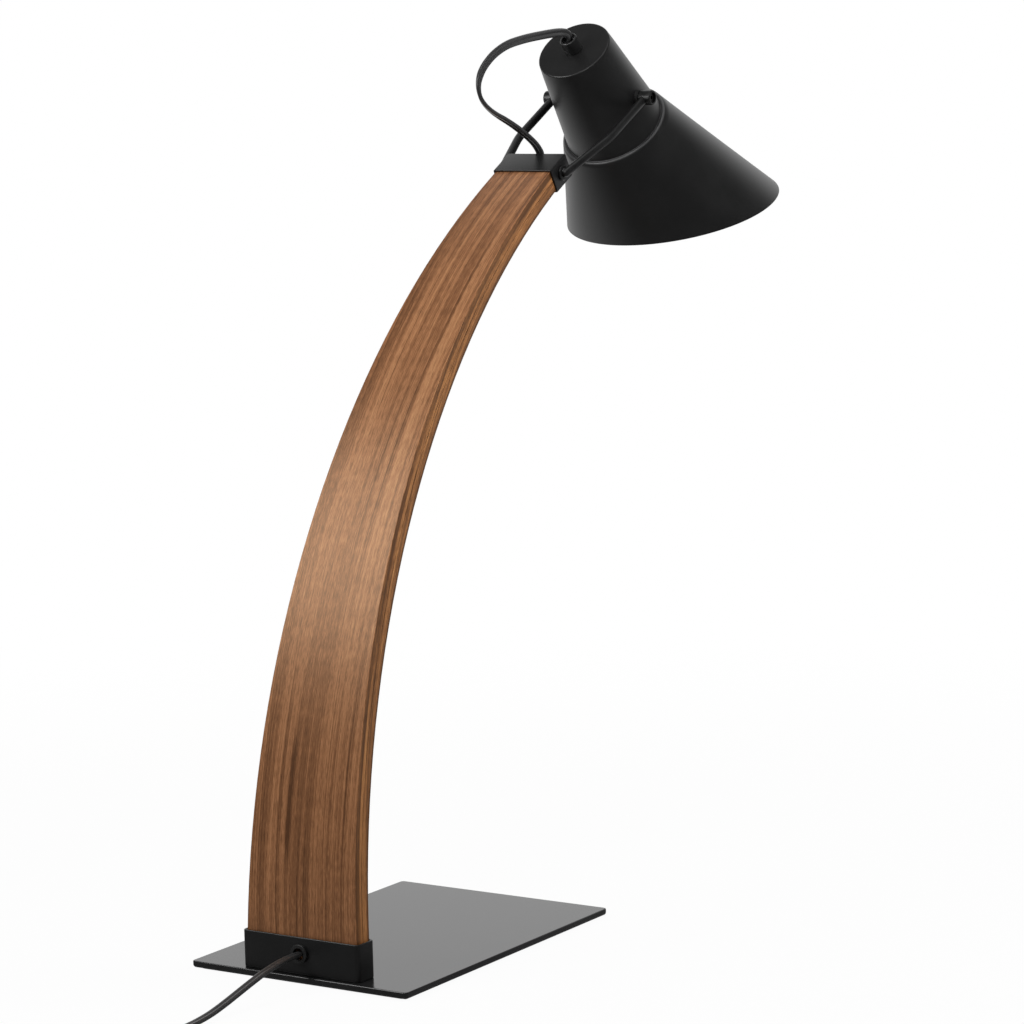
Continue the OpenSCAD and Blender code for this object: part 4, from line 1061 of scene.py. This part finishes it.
def walnut():
    """Straight-grained walnut: its pattern follows the arm's bend and runs on round the edges."""
    finish = Finish("walnut_veneer", specular_ior_level=0.40, specular_tint=(1, 0.64, 0.38, 1))
    x, y, z = finish.place()
    back, high = ARM_X * MM - x, z - ARM_Z * MM
    radius = (back * back + high * high) ** 0.5
    along = high.math("ARCTAN2", back) * (ARM_R * MM)
    deep = ARM_R * MM - radius

    def drawn(side, wide, long, thick, detail, rough=0.5):
        """Noise drawn out along the arm, from how fast it changes across, along and into the wood."""
        return finish.noise(finish.vector(side * wide, along * long, deep * thick), 1, detail, rough)

    # Grain, from broad bands to fine pores
    across = y + 0.8 * deep + 0.012 * drawn(y, 3, 2.0, 3, 2) + 0.0008 * drawn(y, 60, 15, 60, 2)
    broad = drawn(across, 60, 1.6, 60, 2)
    band = drawn(across, 260, 2.2, 0, 3, 0.6)
    line = drawn(across, 1100, 5, 300, 2, 0.6)
    fleck = drawn(across, 1300, 150, 1300, 2, 0.7)
    ripple = drawn(across, 30, 75, 30, 2)
    pore = drawn(across, 2000, 90, 1800, 1)
    upper_half = along.between(0.2, 0.42)
    middle = along.within((0.15, 0.23), (0.33, 0.43))
    figure = 0.5 + (0.45 + 0.3 * upper_half) * (broad - 0.5) + (0.45 + 0.25 * upper_half) * (band - 0.5)
    figure = figure + 0.6 * (line - 0.5) + (0.44 + 0.36 * middle) * (fleck - 0.5) + 0.12 * (ripple - 0.5)

    # Growth rings that show here and there, and one dark streak
    rings = across * 170 + 2.6 * drawn(across, 40, 0.5, 0, 1)
    ring = rings.math("FLOOR")
    grown = rings - ring
    late = grown.between(0.35, 0.96) - grown.between(0.96, 1.0)
    shown = drawn(ring, 3.7, 2.5, 0, 1).between(0.4, 0.68)
    streak = 1 - (across - 0.0185).math("ABSOLUTE").between(0.0005, 0.0035)
    streak = streak * along.within((0.06, 0.09), (0.135, 0.165))
    figure = figure - (0.16 + 0.1 * upper_half) * late * shown - 0.24 * streak
    # Darker at the foot and lighter up the arm: painted shade, where less light reaches the foot
    figure = figure - 0.085 + 0.06 * along.between(0.06, 0.4)

    # Darker edges, the glue line, the cut sides of the layers, and a painted shadow near the tip
    edge = deep.within((0.0002, 0.0006), (0.0036, 0.0050))
    glue = 1 - (deep - GLUE_DEEP).math("ABSOLUTE").between(0.0001, 0.0005)
    front = deep.within((0.0132, 0.0144), (0.0152, 0.0154))
    figure = figure - 0.26 * edge - 0.18 * glue - 0.3 * front
    border = (0.0457 - 0.0362 * along + y).within((0.0006, 0.0016), (0.0025, 0.0045))
    figure = figure - 0.12 * upper_half * border * band.between(0.35, 0.6)
    cut = deep.within((0.0002, 0.0005), (0.0146, 0.0151))
    # Painted shadow of the sleeve and rods on the cut sides near the arm's tip
    figure = figure - 0.12 * cut * along.between(0.565, 0.61)

    wood = finish.mix(pore.between(0.58, 0.70) * 0.5, finish.ramp(figure, WALNUT_TONES), PORE_BROWN)
    finish.colour(finish.mix(cut, wood, CUT_TINT, "MULTIPLY"))
    finish.roughness(0.29 + 0.12 * line)
    finish.bump(line * 0.6 - pore.between(0.6, 0.75), 0.3, 0.00006)
    return finish


walnut().on("arm_rear_layer", "arm_front_layer")


def vinyl(name, tones, grain):
    finish = Finish(name)
    spot = finish.spot()
    cloud = finish.noise(spot, 60, 2)
    fine = finish.noise(spot, grain, 2)
    dark, light = tones
    finish.colour(finish.mix(cloud, tone(dark), tone(light)))
    finish.roughness(0.24 + 0.16 * fine)
    finish.bump(fine, 0.08, 0.00003)
    return finish


vinyl("cord_vinyl", tones=(0.018, 0.026), grain=1500).on(
    "arm_cord", "holder_cord", loop, lead_near, lead_rest)
vinyl("casing_vinyl", tones=(0.007, 0.011), grain=2400).on(
    case_under, case_top, "switch_rocker", plug, "cord_grip")
painted("moulded_black", tones=(0.008, 0.012), rough=(0.40, 0.55), grain=2500, depth=0.00004).on(
    "cord_bushing", "holder_cap", "holder_body", "saddle_washers", "cord_tie")
painted("moulded_white", tones=(0.62, 0.70), rough=(0.45, 0.6), grain=2000, depth=0.00003).on(
    "holder_insulator")
painted("pad_rubber", tones=(0.012, 0.02), rough=(0.7, 0.85), grain=1800, depth=0.0001).on("base_pad")


def bare_metal(name, light, dark, rough):
    finish = Finish(name, metallic=1.0)
    x, y, z = finish.place()
    scratch = finish.noise(finish.vector(x * 400, y * 2600, z * 2600), 1, 2)
    cloud = finish.noise(finish.vector(x, y, z), 150, 2)
    low, high = rough
    finish.colour(finish.mix(cloud, (*dark, 1), (*light, 1)))
    finish.roughness(low + (high - low) * scratch)
    finish.bump(scratch, 0.1, 0.00002)
    return finish


bare_metal("zinc_steel", light=(0.62, 0.62, 0.64), dark=(0.48, 0.48, 0.50), rough=(0.22, 0.40)).on(
    "base_bolts", "inner_washers", "pivot_nuts", "grip_screw", "nipple", "nipple_nut",
    "switch_pin", "switch_screws")
bare_metal("yellow_brass", light=(0.72, 0.52, 0.24), dark=(0.58, 0.40, 0.17), rough=(0.2, 0.38)).on(
    "arm_inserts", "centre_contact", "switch_contacts", plug_pins)
bare_metal("pale_aluminium", light=(0.80, 0.80, 0.82), dark=(0.66, 0.66, 0.68), rough=(0.25, 0.42)).on(
    "screw_shell", "bulb_cap")
bare_metal("black_oxide", light=(0.035, 0.034, 0.033), dark=(0.02, 0.02, 0.02), rough=(0.35, 0.5)).on(
    "pivot_screws")


def opal_glass():
    finish = Finish("opal_glass", coat_weight=0.6, coat_roughness=0.05)
    cloud = finish.noise(finish.spot(), 40, 2)
    finish.colour(finish.mix(cloud, (0.80, 0.78, 0.74, 1), (0.88, 0.86, 0.82, 1)))
    finish.roughness(0.30 + 0.1 * cloud)
    return finish


opal_glass().on("bulb_globe")


# Studio: pale floor, a white sweep behind the lamp and soft lights
SWEEP, SWEEP_EDGE = (0.8888, 0.4582, 0), (0.30, 0.95)
FLOOR_HALF, FLOOR_DROP = 40, 0.0002


class Room(Finish):
    """The world's light: the same ways to add nodes as in a finish."""

    def __init__(self, name):
        self.world = bpy.data.worlds.new(name)
        self.world.use_nodes = True
        self.tree = self.world.node_tree
        self.tree.nodes.clear()

    def light(self, colour):
        return self.add("ShaderNodeBackground", {}, {"Color": colour, "Strength": 1.0})


def studio():
    scene = bpy.context.scene
    scene.view_settings.view_transform = "Standard"
    room = Room("studio")
    facing = room.toward(room.add("ShaderNodeTexCoord", {}, {}, "Generated"), SWEEP)
    sweep = room.mix(facing.between(*SWEEP_EDGE), grey(0.10), WHITE)
    straight = room.ray("Is Camera Ray").math("MAXIMUM", room.ray("Is Transmission Ray"))
    shown = room.mix_shaders(room.ray("Is Glossy Ray"), room.light(grey(0.22)), room.light(sweep))
    shown = room.mix_shaders(straight, shown, room.light(WHITE))
    output = room.tree.nodes.new("ShaderNodeOutputWorld")
    room.tree.links.new(shown.socket, output.inputs["Surface"])
    scene.world = room.world


def floor():
    sides = ((-1, -1), (1, -1), (1, 1), (-1, 1))
    corners = [(x * FLOOR_HALF, y * FLOOR_HALF, -FLOOR_DROP) for x, y in sides]
    piece = mesh_piece("floor", corners, [(0, 1, 2, 3)], False)
    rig.stage(piece)
    finish = Finish("pale_floor", roughness=0.9)
    spot = finish.spot()
    finish.colour(finish.mix(finish.noise(spot, 3), grey(0.44), grey(0.48)))
    away = finish.add("ShaderNodeVectorMath", {"operation": "LENGTH"}, [spot], "Value")
    way = finish.add("ShaderNodeVectorMath", {"operation": "NORMALIZE"}, [spot], "Vector")
    far = finish.toward(way, SWEEP).between(*SWEEP_EDGE) * away.between(0.1, 0.7)
    camera = finish.ray("Is Camera Ray")
    seen = finish.mix(camera, finish.mix(far, grey(0.17), WHITE), WHITE)
    glow = finish.add("ShaderNodeEmission", {}, {"Color": seen, "Strength": 1.0})
    share = camera.math("MAXIMUM", finish.ray("Is Glossy Ray")) * (0.96 + 0.04 * away.between(0.35, 1.3))
    whole = finish.mix_shaders(share, Signal(finish, finish.shader.outputs[0]), glow)
    finish.tree.links.new(whole.socket, finish.tree.nodes["Material Output"].inputs["Surface"])
    piece.data.materials.append(finish.material)


studio()
floor()


def lamp(name, place, aim, size, watts, mirrored=True):
    light = bpy.data.lights.new(name, "AREA")
    light.size = size
    light.energy = watts
    piece = bpy.data.objects.new(name, light)
    piece.location = place
    piece.rotation_mode = "QUATERNION"
    piece.rotation_quaternion = (Vector(aim) - Vector(place)).to_track_quat("-Z", "Y")
    piece.visible_camera = False
    piece.visible_glossy = mirrored
    bpy.context.scene.collection.objects.link(piece)


lamp("key_light", place=(-0.67, 0.54, 0.855), aim=(-0.06, 0, 0.28), size=0.55, watts=8.6)
lamp("top_light", place=(0.04, -0.12, 1.57), aim=(0.15, 0, 0.5), size=0.6, watts=2.0)
lamp("rear_top_light", place=(-0.76, -0.21, 1.41), aim=(0.1, 0, 0.45), size=0.3, watts=4.2)
lamp("right_fill", place=(0.4, -1.0, 0.9), aim=(0.05, 0, 0.3), size=0.8, watts=15.5, mirrored=False)
lamp("front_fill", place=(1.2, 0.8, 0.8), aim=(0, 0, 0.3), size=0.8, watts=9, mirrored=False)

low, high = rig.bounds()
with open("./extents.json", "w") as sizes:
    json.dump({"cad": [list(cad_low), list(cad_high)], "visual": [list(low), list(high)]}, sizes)
